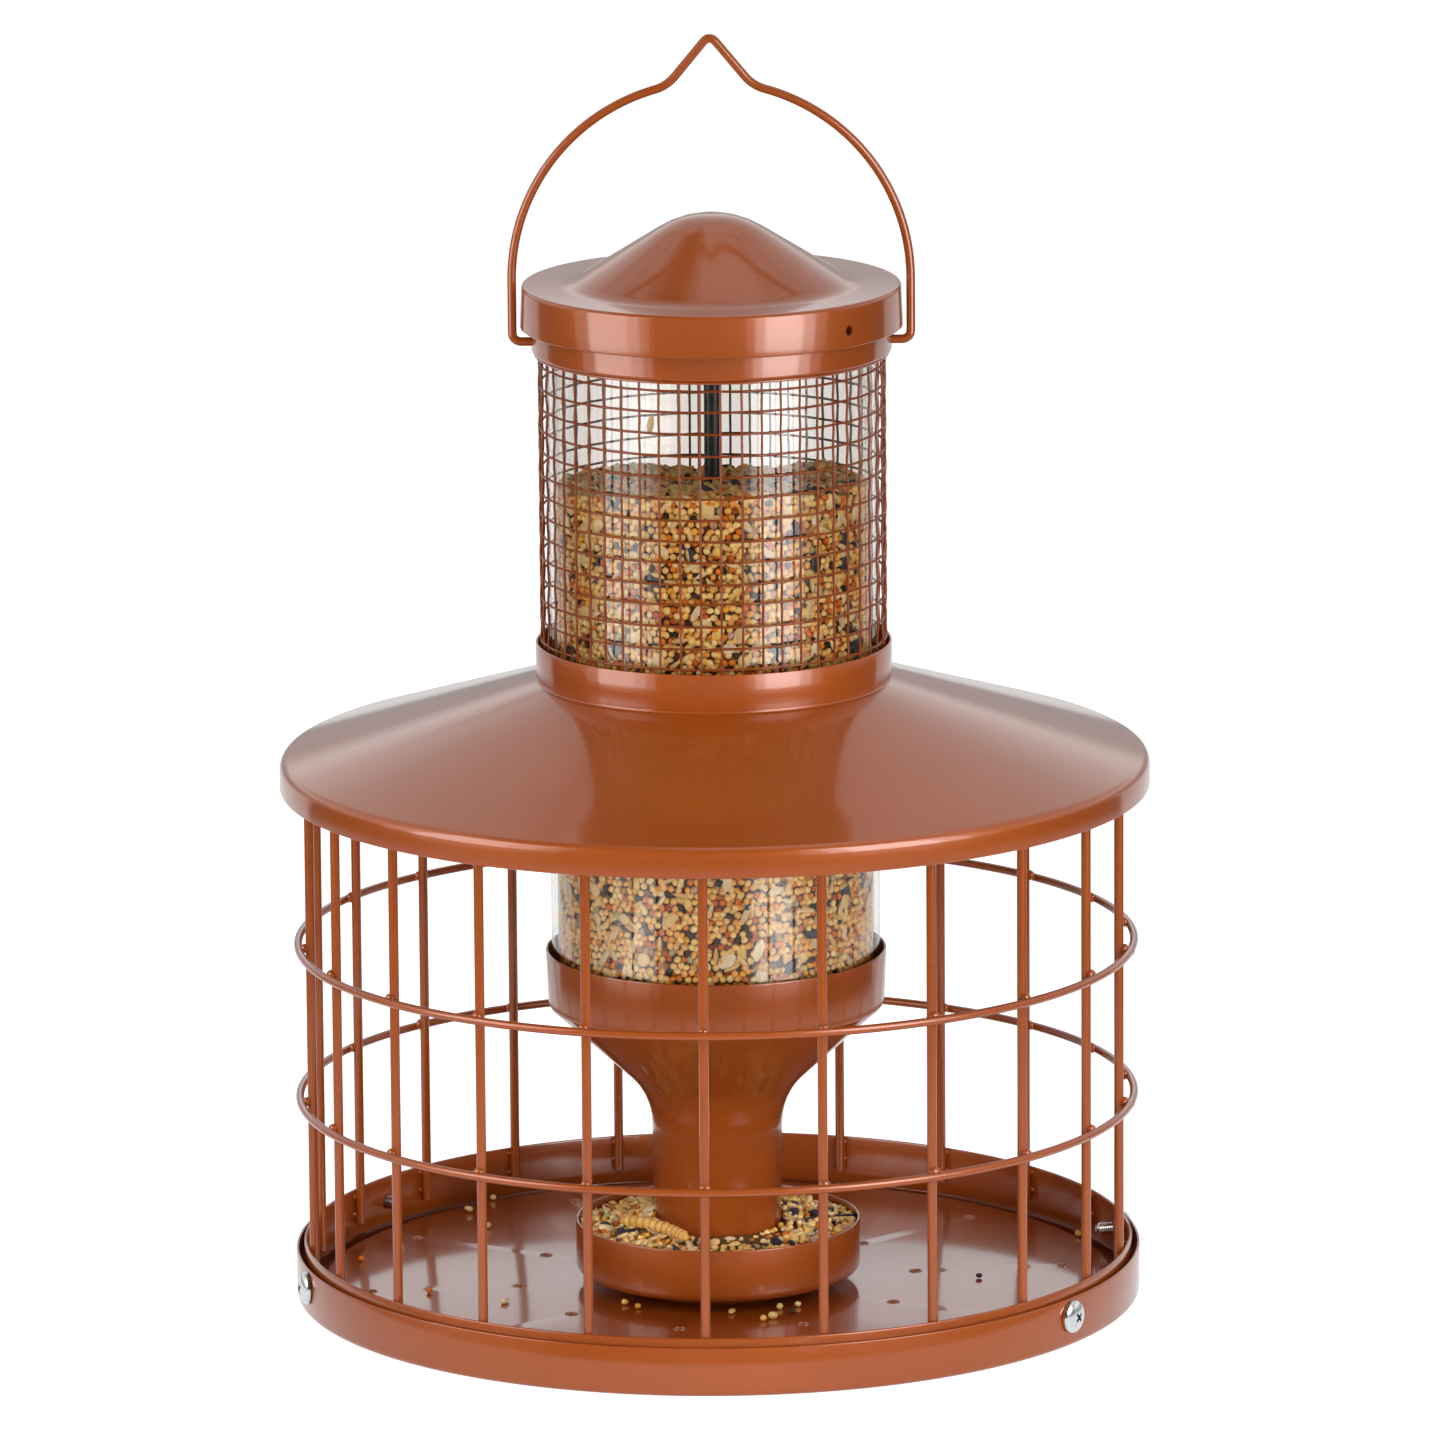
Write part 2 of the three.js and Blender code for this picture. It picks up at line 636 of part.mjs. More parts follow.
// Seed: a column in the tube, funnel and spout, and a heap in the dish round the spout.
function makeSeed() {
  const wall = tubeInner - seat;
  const skin = sheet + seat;
  const fillHeight = tubeTop - seedGap;
  const wallFoot = throat + (wall - spoutTopRadius) * coneSlope + skin * Math.hypot(1, coneSlope);
  const column = offset(funnelPath, skin).slice(0, -2);
  column.push(...[[wall, wallFoot], [wall, fillHeight], [rodHole, fillHeight], [rodHole, spoutFoot]]
    .map((p) => new THREE.Vector2(...p)));
  add("seed_fill", revolve(column, smallFacets), grain);

  const inner = spoutRadius(dishSeedHeap) + seat;
  const heap = offset(dishPath, skin);
  heap[0].x = inner;
  heap.at(-1).y = dishSeedEdge;
  heap.push(new THREE.Vector2(inner, dishSeedHeap));
  add("dish_seed", revolve(heap, smallFacets), grain);
}
makeSeed();

export default feeder;
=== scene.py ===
import math

import bpy
import numpy as np
from mathutils import Euler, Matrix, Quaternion, Vector


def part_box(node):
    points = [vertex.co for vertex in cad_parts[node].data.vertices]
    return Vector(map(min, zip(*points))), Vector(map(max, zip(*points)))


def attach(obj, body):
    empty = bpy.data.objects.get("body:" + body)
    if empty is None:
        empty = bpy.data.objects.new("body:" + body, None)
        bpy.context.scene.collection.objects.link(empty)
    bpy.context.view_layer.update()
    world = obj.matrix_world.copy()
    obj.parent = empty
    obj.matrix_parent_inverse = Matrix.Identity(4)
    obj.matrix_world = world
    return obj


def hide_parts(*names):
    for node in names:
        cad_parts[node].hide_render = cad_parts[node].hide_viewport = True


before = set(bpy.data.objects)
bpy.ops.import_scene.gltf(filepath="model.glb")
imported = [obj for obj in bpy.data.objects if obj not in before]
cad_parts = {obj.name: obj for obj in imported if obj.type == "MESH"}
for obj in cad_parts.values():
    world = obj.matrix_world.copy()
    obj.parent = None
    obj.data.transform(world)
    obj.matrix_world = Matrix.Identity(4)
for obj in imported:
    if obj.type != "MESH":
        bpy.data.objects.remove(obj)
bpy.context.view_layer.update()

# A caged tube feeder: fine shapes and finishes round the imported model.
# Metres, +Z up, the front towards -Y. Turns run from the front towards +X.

rng = np.random.default_rng(11)

mm = 0.001
sheet = 0.8 * mm
seat = 0.3 * mm
rod_hole = 2.8 * mm
tray_lift = 1.8 * mm
tray_floor = tray_lift + sheet
bend_step = math.radians(9)
smooth_angle = 35
fine_angle = 80
quarter_turn = math.pi / 2
full_turn = 2 * math.pi
wide_facets = 256
tube_facets = 192
up = np.array([0, 0, 1.0])


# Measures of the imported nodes

def extent(node):
    """Inner and outer radius about the Z axis, and lowest and highest point, of a node."""
    points = np.array([v.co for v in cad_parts[node].data.vertices])
    radii = np.hypot(points[:, 0], points[:, 1])
    return radii.min(), radii.max(), points[:, 2].min(), points[:, 2].max()


def turn_of(node):
    """The turn from the front at which the middle of a node lies."""
    low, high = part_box(node)
    middle = (low + high) / 2
    return math.atan2(middle.x, -middle.y)


def around(radius, turn, height=0.0):
    """A point, or points, at a radius and a turn from the front."""
    return np.stack(np.broadcast_arrays(radius * np.sin(turn), -radius * np.cos(turn), height), -1)


def directions(turn):
    """The directions away from the axis and round it, at a turn from the front."""
    s, c = math.sin(turn), math.cos(turn)
    return np.array([s, -c, 0]), np.array([c, s, 0])


def circle_of(count):
    """Turns spaced evenly round a circle."""
    return np.arange(count) * full_turn / count


# Mesh helpers

def new_object(name, data):
    made = bpy.data.objects.new(name, data)
    bpy.context.scene.collection.objects.link(made)
    return made


def piece_from(name, shape, material, nodes=(), body="feeder", sharp=smooth_angle):
    """A piece from a shape of (points, faces), which stands for the nodes that it names."""
    points, faces = shape
    mesh = bpy.data.meshes.new(name)
    mesh.from_pydata(np.asarray(points).tolist(), [], [list(f) for f in faces])
    mesh.validate()
    mesh.shade_smooth()
    mesh.set_sharp_from_angle(angle=math.radians(sharp))
    mesh.materials.append(material)
    piece = new_object(name, mesh)
    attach(piece, body)
    if nodes:
        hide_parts(*nodes)
    return piece


def painted(name, shape, nodes=(), body="feeder", sharp=smooth_angle):
    return piece_from(name, shape, paint, nodes, body, sharp)


def pressed(name, corners, facets, node):
    """A round part of painted sheet, from its corner chain."""
    return painted(name, revolve(sheet_section(rounded(corners)), facets), [node])


def joined(parts):
    """Several (points, faces) shapes as one."""
    points, faces, count = [], [], 0
    for part_points, part_faces in parts:
        points.append(part_points)
        faces += [[i + count for i in face] for face in part_faces]
        count += len(part_points)
    return np.concatenate(points), faces


def rounded(corners):
    """A corner chain as a path: a corner is (x, y) or (x, y, radius), and the radius rounds it."""
    path = []
    for i, corner in enumerate(corners):
        tip = Vector(corner[:2])
        if len(corner) == 2:
            path.append(tip)
            continue
        radius = corner[2]
        back = (Vector(corners[i - 1][:2]) - tip).normalized()
        ahead = (Vector(corners[i + 1][:2]) - tip).normalized()
        half = back.angle(ahead) / 2
        centre = tip + (back + ahead).normalized() * radius / math.sin(half)
        start = tip + back * radius / math.tan(half) - centre
        end = tip + ahead * radius / math.tan(half) - centre
        first = math.atan2(start.y, start.x)
        bend = math.remainder(math.atan2(end.y, end.x) - first, full_turn)
        steps = math.ceil(abs(bend) / bend_step)
        for k in range(steps + 1):
            turn = first + bend * k / steps
            path.append(centre + radius * Vector((math.cos(turn), math.sin(turn))))
    return np.array(path)


def offset(path, distance):
    """The path moved sideways by a distance, to its left, with its bends kept parallel."""
    steps = np.diff(path, axis=0)
    left = np.stack([-steps[:, 1], steps[:, 0]], 1) / np.linalg.norm(steps, axis=1, keepdims=True)
    before = np.concatenate([left[:1], left])
    after = np.concatenate([left, left[-1:]])
    share = 1 + (before * after).sum(1, keepdims=True)
    return path + (before + after) * distance / share


def sheet_section(path, thickness=sheet):
    """A closed section of a sheet that lies on the path's left, with both of its edges rounded."""
    edge_steps = 4
    inner = offset(path, thickness)

    def cap(a, b):
        middle, arm = (a + b) / 2, (a - b) / 2
        side = np.array([arm[1], -arm[0]])
        turns = [math.pi * k / edge_steps for k in range(1, edge_steps)]
        return [middle + arm * math.cos(t) - side * math.sin(t) for t in turns]

    return np.array([*path, *cap(path[-1], inner[-1]), *inner[::-1], *cap(inner[0], path[0])])


def bands(rows, sides, closed=False, flipped=False):
    """Four-sided faces between rings of points that lie one after another."""
    faces = []
    for i in range(rows if closed else rows - 1):
        j = (i + 1) % rows
        for k in range(sides):
            m = (k + 1) % sides
            a, b, c, d = i * sides + k, i * sides + m, j * sides + m, j * sides + k
            faces.append((a, d, c, b) if flipped else (a, b, c, d))
    return faces


def ring_face(row, sides):
    """The face that closes a ring of points."""
    return [row * sides + k for k in range(sides)]


def capped(rows, sides):
    """Bands with a face over each end."""
    return bands(rows, sides) + [ring_face(0, sides)[::-1], ring_face(rows - 1, sides)]


def revolve(section, facets, closed=True):
    """A section of (radius, height) points turned round the Z axis."""
    section = np.asarray(section)
    points = around(section[:, :1], circle_of(facets), section[:, 1:]).reshape(-1, 3)
    return points, bands(len(section), facets, True) if closed else capped(len(section), facets)


def upright_band(node, facets):
    """A node that is a tube or a round strip, with rounded edges."""
    inner, outer, low, high = extent(node)
    return revolve(sheet_section(np.array([[outer, low], [outer, high]]), outer - inner), facets)


def sweep(path, side, radius, sides=12, closed=False):
    """A round wire along a path. side is square to the path: one direction, or one for each point."""
    path = np.asarray(path, float)
    ahead = np.roll(path, -1, 0) - np.roll(path, 1, 0)
    if not closed:
        ahead[0], ahead[-1] = path[1] - path[0], path[-1] - path[-2]
    across = np.cross(ahead, side)
    across /= np.linalg.norm(across, axis=1, keepdims=True)
    rise = np.cross(across, ahead)
    rise /= np.linalg.norm(rise, axis=1, keepdims=True)
    spin = circle_of(sides)[None, :, None]
    count = len(path)
    radius = np.broadcast_to(radius, count)[:, None, None]
    ring = across[:, None] * np.cos(spin) + rise[:, None] * np.sin(spin)
    points = (path[:, None] + radius * ring).reshape(-1, 3)
    faces = bands(count, sides, closed, flipped=True)
    if not closed:
        faces += [ring_face(0, sides), ring_face(count - 1, sides)[::-1]]
    return points, faces


def rod(start, end, radius):
    """A straight cylinder between two points."""
    sides = 24
    start, end = np.asarray(start, float), np.asarray(end, float)
    side = (0, 0, 1) if abs(end[2] - start[2]) < np.linalg.norm(end - start) / 2 else (0, 1, 0)
    return sweep([start, end], side, radius, sides)


def radial_rods(radius, near, far, height, turns):
    return [rod(around(near, t, height), around(far, t, height), radius) for t in turns]


def thread_depth(along, pitch, spin):
    """How deep a thread runs, from 0 to 1, at places along a screw and round it."""
    phase = (along[:, None] / pitch + spin / full_turn) % 1
    return np.abs(2 * phase - 1)


def lump(middle, half_sizes, turn):
    """A smooth lump: half sizes across, along the radius and up, at a turn from the front."""
    rings, sides = 5, 12
    lean, spin = np.linspace(0, math.pi, rings + 2)[:, None], circle_of(sides)
    x = np.sin(lean) * np.cos(spin) * half_sizes[0]
    y = np.sin(lean) * np.sin(spin) * half_sizes[1]
    z = np.cos(lean) * np.ones(sides) * half_sizes[2]
    out, across = directions(turn)
    points = middle + x[..., None] * across - y[..., None] * out + z[..., None] * up
    return points.reshape(-1, 3), bands(rings + 2, sides)


def cut(piece, parts):
    """Takes the shape of the parts out of a piece."""
    points, faces = joined(parts)
    mesh = bpy.data.meshes.new("cutter")
    mesh.from_pydata(points.tolist(), [], faces)
    cutter = new_object("cutter", mesh)
    modifier = piece.modifiers.new("cut", "BOOLEAN")
    modifier.solver = "EXACT"
    modifier.object = cutter
    graph = bpy.context.evaluated_depsgraph_get()
    result = bpy.data.meshes.new_from_object(piece.evaluated_get(graph))
    piece.modifiers.clear()
    piece.data = result
    result.set_sharp_from_angle(angle=math.radians(smooth_angle))
    bpy.data.objects.remove(cutter)
    bpy.data.meshes.remove(mesh)


# Materials

class Tree:
    """A node tree, with short ways to add nodes and to join them."""

    def __init__(self, tree):
        self.nodes, self.links = tree.nodes, tree.links

    def give(self, made, values):
        """Gives inputs, by name or place, a number, a colour or another node's output."""
        for key, value in values.items():
            if isinstance(value, bpy.types.NodeSocket):
                self.links.new(value, made.inputs[key])
            elif value is not None:
                made.inputs[key].default_value = value

    def add(self, kind, *sources, **values):
        """A new node: its inputs in order, then inputs or settings by name."""
        made = self.nodes.new("ShaderNode" + kind)
        for key, value in values.items():
            if key not in made.inputs:
                setattr(made, key, value)
        self.give(made, {key: value for key, value in values.items() if key in made.inputs})
        self.give(made, dict(enumerate(sources)))
        return made

    def shader(self, kind, *sources, **values):
        return self.add(kind, *sources, **values).outputs[0]

    def noise(self, scale, detail):
        """Noise over the object's own coordinates, in features per metre."""
        place = self.add("TexCoord").outputs["Object"]
        return self.add("TexNoise", Vector=place, Scale=scale, Detail=detail).outputs["Fac"]

    def ramp(self, source, stops):
        """Colours or greys along a value, as (place, colour) stops."""
        made = self.add("ValToRGB", source)
        elements = made.color_ramp.elements
        for i, (at, colour) in enumerate(stops):
            element = elements[i] if i < 2 else elements.new(at)
            element.position = at
            element.color = (*colour, 1)
        return made.outputs["Color"]

    def rise(self, source, low, high, start=0.0, end=1.0):
        """Goes from start to end while the source goes from low to high."""
        return self.add("MapRange", source, low, high, start, end).outputs["Result"]

    def spread(self, source, low, high):
        """Goes from low to high while the source goes from 0 to 1."""
        return self.rise(source, 0.0, 1.0, low, high)

    def bump(self, height, distance):
        return self.add("Bump", Distance=distance, Strength=1.0, Height=height).outputs["Normal"]

    def math(self, operation, *sources):
        """One math node over sockets and plain numbers."""
        return self.add("Math", *sources, operation=operation).outputs[0]

    def times(self, first, *others):
        """The product of sockets and plain numbers."""
        for other in others:
            first = self.math("MULTIPLY", first, other)
        return first

    def coordinates(self, output):
        """X, Y and Z of a coordinate output."""
        return self.add("SeparateXYZ", self.add("TexCoord").outputs[output]).outputs[:3]

    def rays(self):
        """Whether a ray comes straight or through something clear, and whether it was mirrored."""
        path = self.add("LightPath").outputs
        straight = self.math("MAXIMUM", path["Is Camera Ray"], path["Is Transmission Ray"])
        return straight, path["Is Glossy Ray"]


def new_material(name):
    material = bpy.data.materials.new(name)
    material.use_nodes = True
    tree = Tree(material.node_tree)
    return material, tree, tree.nodes["Principled BSDF"]


def paint_material(name, shade=1.0, coat=1.0):
    """Copper-brown powder paint with a fine metallic flake under a gloss skin."""
    material, tree, shader = new_material(name)
    patch, flake, peel = tree.noise(14.0, 3.0), tree.noise(1500.0, 2.0), tree.noise(420.0, 1.5)
    mixed = tree.shader("Mix", 0.35, None, patch, flake, data_type="FLOAT")
    deep, pale = (0.27, 0.052, 0.0045), (0.335, 0.069, 0.008)
    # A shade below 1 darkens both colours: painted shade, for a darker copy of this paint.
    stops = [(0.3, [c * shade for c in deep]), (0.7, [c * shade for c in pale])]
    tree.give(shader, {
        "Base Color": tree.ramp(mixed, stops), "Metallic": 0.08, "Specular IOR Level": 0.12,
        "Roughness": tree.spread(flake, 0.30, 0.44), "Normal": tree.bump(flake, 0.05 * mm),
        "Coat Weight": coat, "Coat Roughness": 0.1, "Coat IOR": 1.5,
        "Coat Normal": tree.bump(peel, 0.012 * mm),
    })
    return material


def clear_material():
    """Clear plastic: light passes straight through, and each face mirrors a little of what is round it."""
    material, tree, shader = new_material("clear_plastic")
    tree.nodes.remove(shader)
    acrylic_index = 1.49
    back = tree.add("NewGeometry").outputs["Backfacing"]
    share = tree.add("Fresnel", IOR=tree.spread(back, acrylic_index, 1 / acrylic_index)).outputs["Fac"]
    through = tree.shader("BsdfTransparent", Color=(0.925, 0.912, 0.895, 1))
    mirror = tree.shader("BsdfAnisotropic", Color=(1, 1, 1, 1), Roughness=0.05)
    both = tree.shader("MixShader", share, through, mirror)
    tree.give(tree.nodes["Material Output"], {"Surface": both})
    return material


def metal_material(name, grain_scale, detail, stops, metallic, roughness, depth):
    """Metal over a fine grain that clouds its colour and its gloss."""
    material, tree, shader = new_material(name)
    grain = tree.noise(grain_scale, detail)
    tree.give(shader, {
        "Base Color": tree.ramp(grain, stops), "Metallic": metallic,
        "Roughness": tree.spread(grain, *roughness), "Normal": tree.bump(grain, depth),
    })
    return material


def grain_material(name, colours, rough=0.5, speck=900.0):
    """Dry seed: each grain takes one of the colours, with a mottle over it."""
    material, tree, shader = new_material(name)
    share = 1 / (len(colours) - 1)
    own = tree.ramp(tree.add("NewGeometry").outputs["Random Per Island"],
                    [(i * share, c) for i, c in enumerate(colours)])
    mottle = tree.noise(speck, 3.0)
    mixed = tree.add("Mix", 1.0, data_type="RGBA", blend_type="MULTIPLY")
    tree.give(mixed, {6: own, 7: tree.spread(mottle, 0.8, 1.18)})
    tree.give(shader, {
        "Base Color": mixed.outputs[2], "Roughness": tree.spread(mottle, rough * 0.8, rough * 1.25),
        "Specular IOR Level": 0.12, "Normal": tree.bump(mottle, 0.03 * mm),
    })
    return material


def gap_shade_material(name):
    """Dark brown painted shade for the gaps between the grains on top, where more of the same seed lies in
    shade.
    """
    return grain_material(name, [(0.13, 0.065, 0.026), (0.18, 0.095, 0.04)], 0.8, 420.0)


paint = paint_material("copper_brown_paint")
# The wire cloth: the same paint darkened to 0.62 as painted shade, with a thinner gloss skin.
wire_shade_paint = paint_material("copper_brown_painted_shade", 0.62, 0.35)
clear = clear_material()
zinc_stops = [(0.35, (0.6364, 0.645, 0.6536)), (0.65, (0.74, 0.75, 0.76))]
black_stops = [(0.3, (0.012, 0.014, 0.017)), (0.7, (0.028, 0.032, 0.038))]
zinc = metal_material("bright_zinc", 900.0, 4.0, zinc_stops, 1.0, (0.15, 0.26), 0.01 * mm)
black = metal_material("black_rod_finish", 1100.0, 3.0, black_stops, 0.6, (0.25, 0.42), 0.02 * mm)


# Tray, its screws, and the cage

screws = ["tray_screw_%d" % (i + 1) for i in range(4)]
screw_turns = [turn_of(name) for name in screws]
screw_height = (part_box(screws[0])[0].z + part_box(screws[0])[1].z) / 2
screw_shank = 2 * mm


def make_tray():
    _, radius, _, top = extent("tray")
    edge_round, foot_width, foot_slope, press_round = 1.6 * mm, 4.5 * mm, 2 * mm, 1.5 * mm
    boss, boss_slope, boss_under = 26 * mm, 4 * mm, 4.8 * mm
    drain, drain_circles, drain_count = 1.75 * mm, (60.8 * mm, 106.7 * mm), 10
    drain_turn, burr, lip_steps = math.radians(-11.2), 0.22 * mm, 24
    foot = radius - edge_round - foot_width
    tray = pressed("tray_pan", [
        (rod_hole, boss_under), (boss, boss_under, press_round),
        (boss + boss_slope, tray_lift, press_round), (foot - foot_slope, tray_lift, press_round),
        (foot, 0, press_round), (radius, 0, edge_round), (radius, top),
    ], wide_facets, "tray")
    turns = drain_turn + circle_of(drain_count)
    spots = [around(circle, t) for circle in drain_circles for t in turns]
    holes = [rod(spot - (0, 0, drain), spot + (0, 0, tray_floor + drain), drain) for spot in spots]
    near, far = radius - 4 * sheet, radius + sheet
    cut(tray, holes + radial_rods(screw_shank + seat, near, far, screw_height, screw_turns))
    lip = around(drain + burr / 2, circle_of(lip_steps), tray_floor)
    painted("drain_lips", joined([sweep(spot + lip, up, burr, 8, closed=True) for spot in spots]))


def make_cage():
    inner, outer, _, _ = extent("cage_band")
    cut(painted("cage_strip", upright_band("cage_band", wide_facets), ["cage_band"]),
        radial_rods(screw_shank + seat, inner - sheet, outer + sheet, screw_height, screw_turns))

    wires = ["cage_wire_%02d" % (i + 1) for i in range(22)]
    turns = [turn_of(name) for name in wires]
    near, far, foot, top = extent(wires[0])
    wire, circle, end_round = (far - near) / 2, (far + near) / 2, 0.35 * mm
    heights = [foot, foot + end_round, top - end_round, top]
    radii = [wire - end_round, wire, wire, wire - end_round]
    for name, turn in zip(wires, turns):
        path = [around(circle, turn, z) for z in heights]
        painted(name.replace("cage_", "upright_"), sweep(path, directions(turn)[1], radii, 20), [name])

    seam_turn, seam_swell, seam_half = math.radians(80), 0.22 * mm, 1.1 * mm
    bead_rise, bead_scatter, bead_turn = 0.7 * mm, 0.1 * mm, 0.0008
    steps, beads = circle_of(wide_facets), []
    for name in ("cage_ring_lower", "cage_ring_upper", "cage_ring_top"):
        _, reach, low, high = extent(name)
        ring_wire = (high - low) / 2
        ring_circle, height = reach - ring_wire, (low + high) / 2
        away = np.array([math.remainder(t - seam_turn, full_turn) for t in steps]) * ring_circle
        radii = ring_wire + seam_swell * np.exp(-(away / seam_half) ** 2)
        hoop = sweep(around(ring_circle, steps, height), up, radii, 20, closed=True)
        painted(name.replace("cage_", "hoop_"), hoop, [name])
        middle = (circle + wire + ring_circle - ring_wire) / 2
        for turn in turns:
            bead_height = height + bead_rise + rng.normal(0, bead_scatter)
            beads.append(weld_bead(middle, turn + rng.normal(0, bead_turn), bead_height))
    painted("weld_beads", joined(beads))

    weld_heights, weld_scatter, weld_size = (3.6 * mm, 9.2 * mm), 0.2 * mm, (1.9 * mm, 0.9 * mm, 1.1 * mm)
    painted("strip_welds", joined([
        lump(around(inner, turn, foot + rise + rng.normal(0, weld_scatter)), weld_size, turn)
        for turn in turns for rise in weld_heights
    ]))


def weld_bead(radius, turn, height):
    """A resistance weld where a ring crosses a wire: a small fillet that joins the two."""
    size, width, depth, length = rng.uniform(0.9, 1.12), 1.75 * mm, 1.3 * mm, 1.6 * mm
    return lump(around(radius, turn, height), (width * size, depth, length * size), turn)


def make_screws():
    inner, head_seat = extent(screws[0])[0], extent("tray")[1] + seat
    head, head_height, head_edge, crown_steps = 5 * mm, 2.6 * mm, 0.5 * mm, 12
    pitch, thread, pitch_rows, lead, point, sides = 0.7 * mm, 0.3 * mm, 8, 1.5, 0.55, 32
    slot_long, slot_wide, slot_deep = 4.4 * mm, 0.95 * mm, 1.3 * mm
    crown = head_height - head_edge
    profile = np.array([*((head * math.sin(a), head_seat + head_edge + crown * math.cos(a))
                          for a in np.linspace(0, quarter_turn, crown_steps)),
                        (head, head_seat), (screw_shank, head_seat)])
    spin = circle_of(sides)
    along = np.linspace(head_seat, inner, int((head_seat - inner) / (pitch / pitch_rows)))
    taper = np.clip((along - inner) / (lead * pitch), point, 1)[:, None]
    radii = (screw_shank - thread * thread_depth(along, pitch, spin)) * taper
    ring = np.concatenate([np.repeat(profile[:, :1], sides, 1), radii])
    reach = np.concatenate([profile[:, 1], along])[:, None, None]
    x, z = (ring * np.cos(spin))[..., None], (ring * np.sin(spin))[..., None]
    faces = bands(len(ring), sides) + [ring_face(len(ring) - 1, sides)[::-1]]
    for i, (name, turn) in enumerate(zip(screws, screw_turns)):
        out, across = directions(turn)
        points = (reach * out + x * across + (z + screw_height) * up).reshape(-1, 3)
        screw = piece_from("rim_screw_%d" % (i + 1), (points, faces), zinc, [name])
        spun = rng.uniform(0, quarter_turn)
        middle = out * (head_seat + head_height) + up * screw_height
        for arm in (spun, spun + quarter_turn):
            cut(screw, [cross_arm(middle, out, across, arm, slot_long, slot_wide, slot_deep)])


def cross_arm(middle, out, across, spin, long, wide, deep):
    """A tapered slot of a cross recess, as a wedge that points into the head."""
    u = math.cos(spin) * across + math.sin(spin) * up
    v = -math.sin(spin) * across + math.cos(spin) * up
    signs = ((-1, -1), (1, -1), (1, 1), (-1, 1))
    levels = ((2, 2, 0.6 * mm), (5, 3, -deep))
    corners = [(s * long / a, t * wide / b, c) for a, b, c in levels for s, t in signs]
    points = np.array([middle + a * u + b * v + c * out for a, b, c in corners])
    return points, [(0, 1, 2, 3), (7, 6, 5, 4), (0, 4, 5, 1), (1, 5, 6, 2), (2, 6, 7, 3), (3, 7, 4, 0)]


make_tray()
make_cage()
make_screws()


# Dish, funnel, tube and rod

_, funnel_outer, funnel_low, funnel_high = extent("funnel")
spout_foot, spout_top, throat_round, lip_round = 19.1 * mm, 20 * mm, 22 * mm, 1.5 * mm
throat = funnel_low + 54.4 * mm
cup_radius, cup_foot = funnel_outer - 0.7 * mm, funnel_high - 16.6 * mm
funnel_corners = [
    (spout_foot, funnel_low), (spout_top, throat, throat_round), (cup_radius, cup_foot, lip_round),
    (funnel_outer, funnel_high),
]


def make_dish():
    _, radius, low, high = extent("seed_dish")
    corner = 3 * mm
    pressed("dish_pan", [(rod_hole, low), (radius, low, corner), (radius, high)], tube_facets, "seed_dish")


def make_funnel():
    port_height, port_half, arch_steps, reach = 13 * mm, 6 * mm, 17, 2 * spout_top
    funnel = pressed("funnel_spout", funnel_corners, tube_facets, "funnel")
    springing = port_height - port_half
    arch = [(-port_half, -2 * port_half), (port_half, -2 * port_half)]
    arch += [(port_half * math.cos(a), springing + port_half * math.sin(a))
             for a in np.linspace(0, math.pi, arch_steps)]
    count = len(arch)
    faces = [ring_face(0, count)[::-1], ring_face(1, count), *bands(2, count)]
    for turn in (math.pi / 4, 3 * math.pi / 4):
        out, across = directions(turn)
        points = [across * x + out * y + up * (funnel_low + z) for y in (-reach, reach) for x, z in arch]
        cut(funnel, [(np.array(points), faces)])


def make_rod():
    _, radius, low, high = extent("centre_rod")
    pitch, thread, threaded, pitch_rows, sides = 0.8 * mm, 0.35 * mm, 14 * mm, 4, 24
    start = high - threaded
    turns_of_thread = np.arange(start, high, pitch / pitch_rows)
    heights = np.concatenate([np.linspace(low, start, 4), turns_of_thread, [high]])
    spin = circle_of(sides)
    radii = radius - (heights > start)[:, None] * thread * thread_depth(heights, pitch, spin)
    x, y = radii * np.cos(spin), radii * np.sin(spin)
    points = np.stack(np.broadcast_arrays(x, y, heights[:, None]), -1).reshape(-1, 3)
    piece_from("tie_rod", (points, capped(len(heights), sides)), black, ["centre_rod"])


def dress_hardware():
    """The nuts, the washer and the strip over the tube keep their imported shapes, with broken edges."""
    for name in ("rod_washer", "rod_nut_bottom", "rod_nut_top", "tube_bridge"):
        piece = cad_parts[name]
        piece.data.materials.clear()
        piece.data.materials.append(zinc)
        bevel = piece.modifiers.new("edges", "BEVEL")
        bevel.width = 0.18 * mm
        bevel.segments = 2
        bevel.limit_method = "ANGLE"


make_dish()
make_funnel()
piece_from("clear_tube", upright_band("seed_tube", tube_facets), clear, ["seed_tube"])
make_rod()
dress_hardware()


# Roof, guard, collar, lid and bail

def make_roof():
    inner, radius, eave, top = extent("roof")
    rim_height, rim_round, rise, neck_round = 8.2 * mm, 3 * mm, 24.1 * mm, 0.6 * mm
    neck_height, shoulder, shoulder_round = 0.9 * mm, 0.7 * mm, 0.25 * mm
    spigot, crease = inner + sheet, eave + rim_height
    neck, ledge = spigot + shoulder, crease + rise + neck_height
    pressed("roof_sheet", [
        (radius, eave), (radius, crease, rim_round), (neck, crease + rise, neck_round),
        (neck, ledge, shoulder_round), (spigot, ledge), (spigot, top),
    ], wide_facets, "roof")


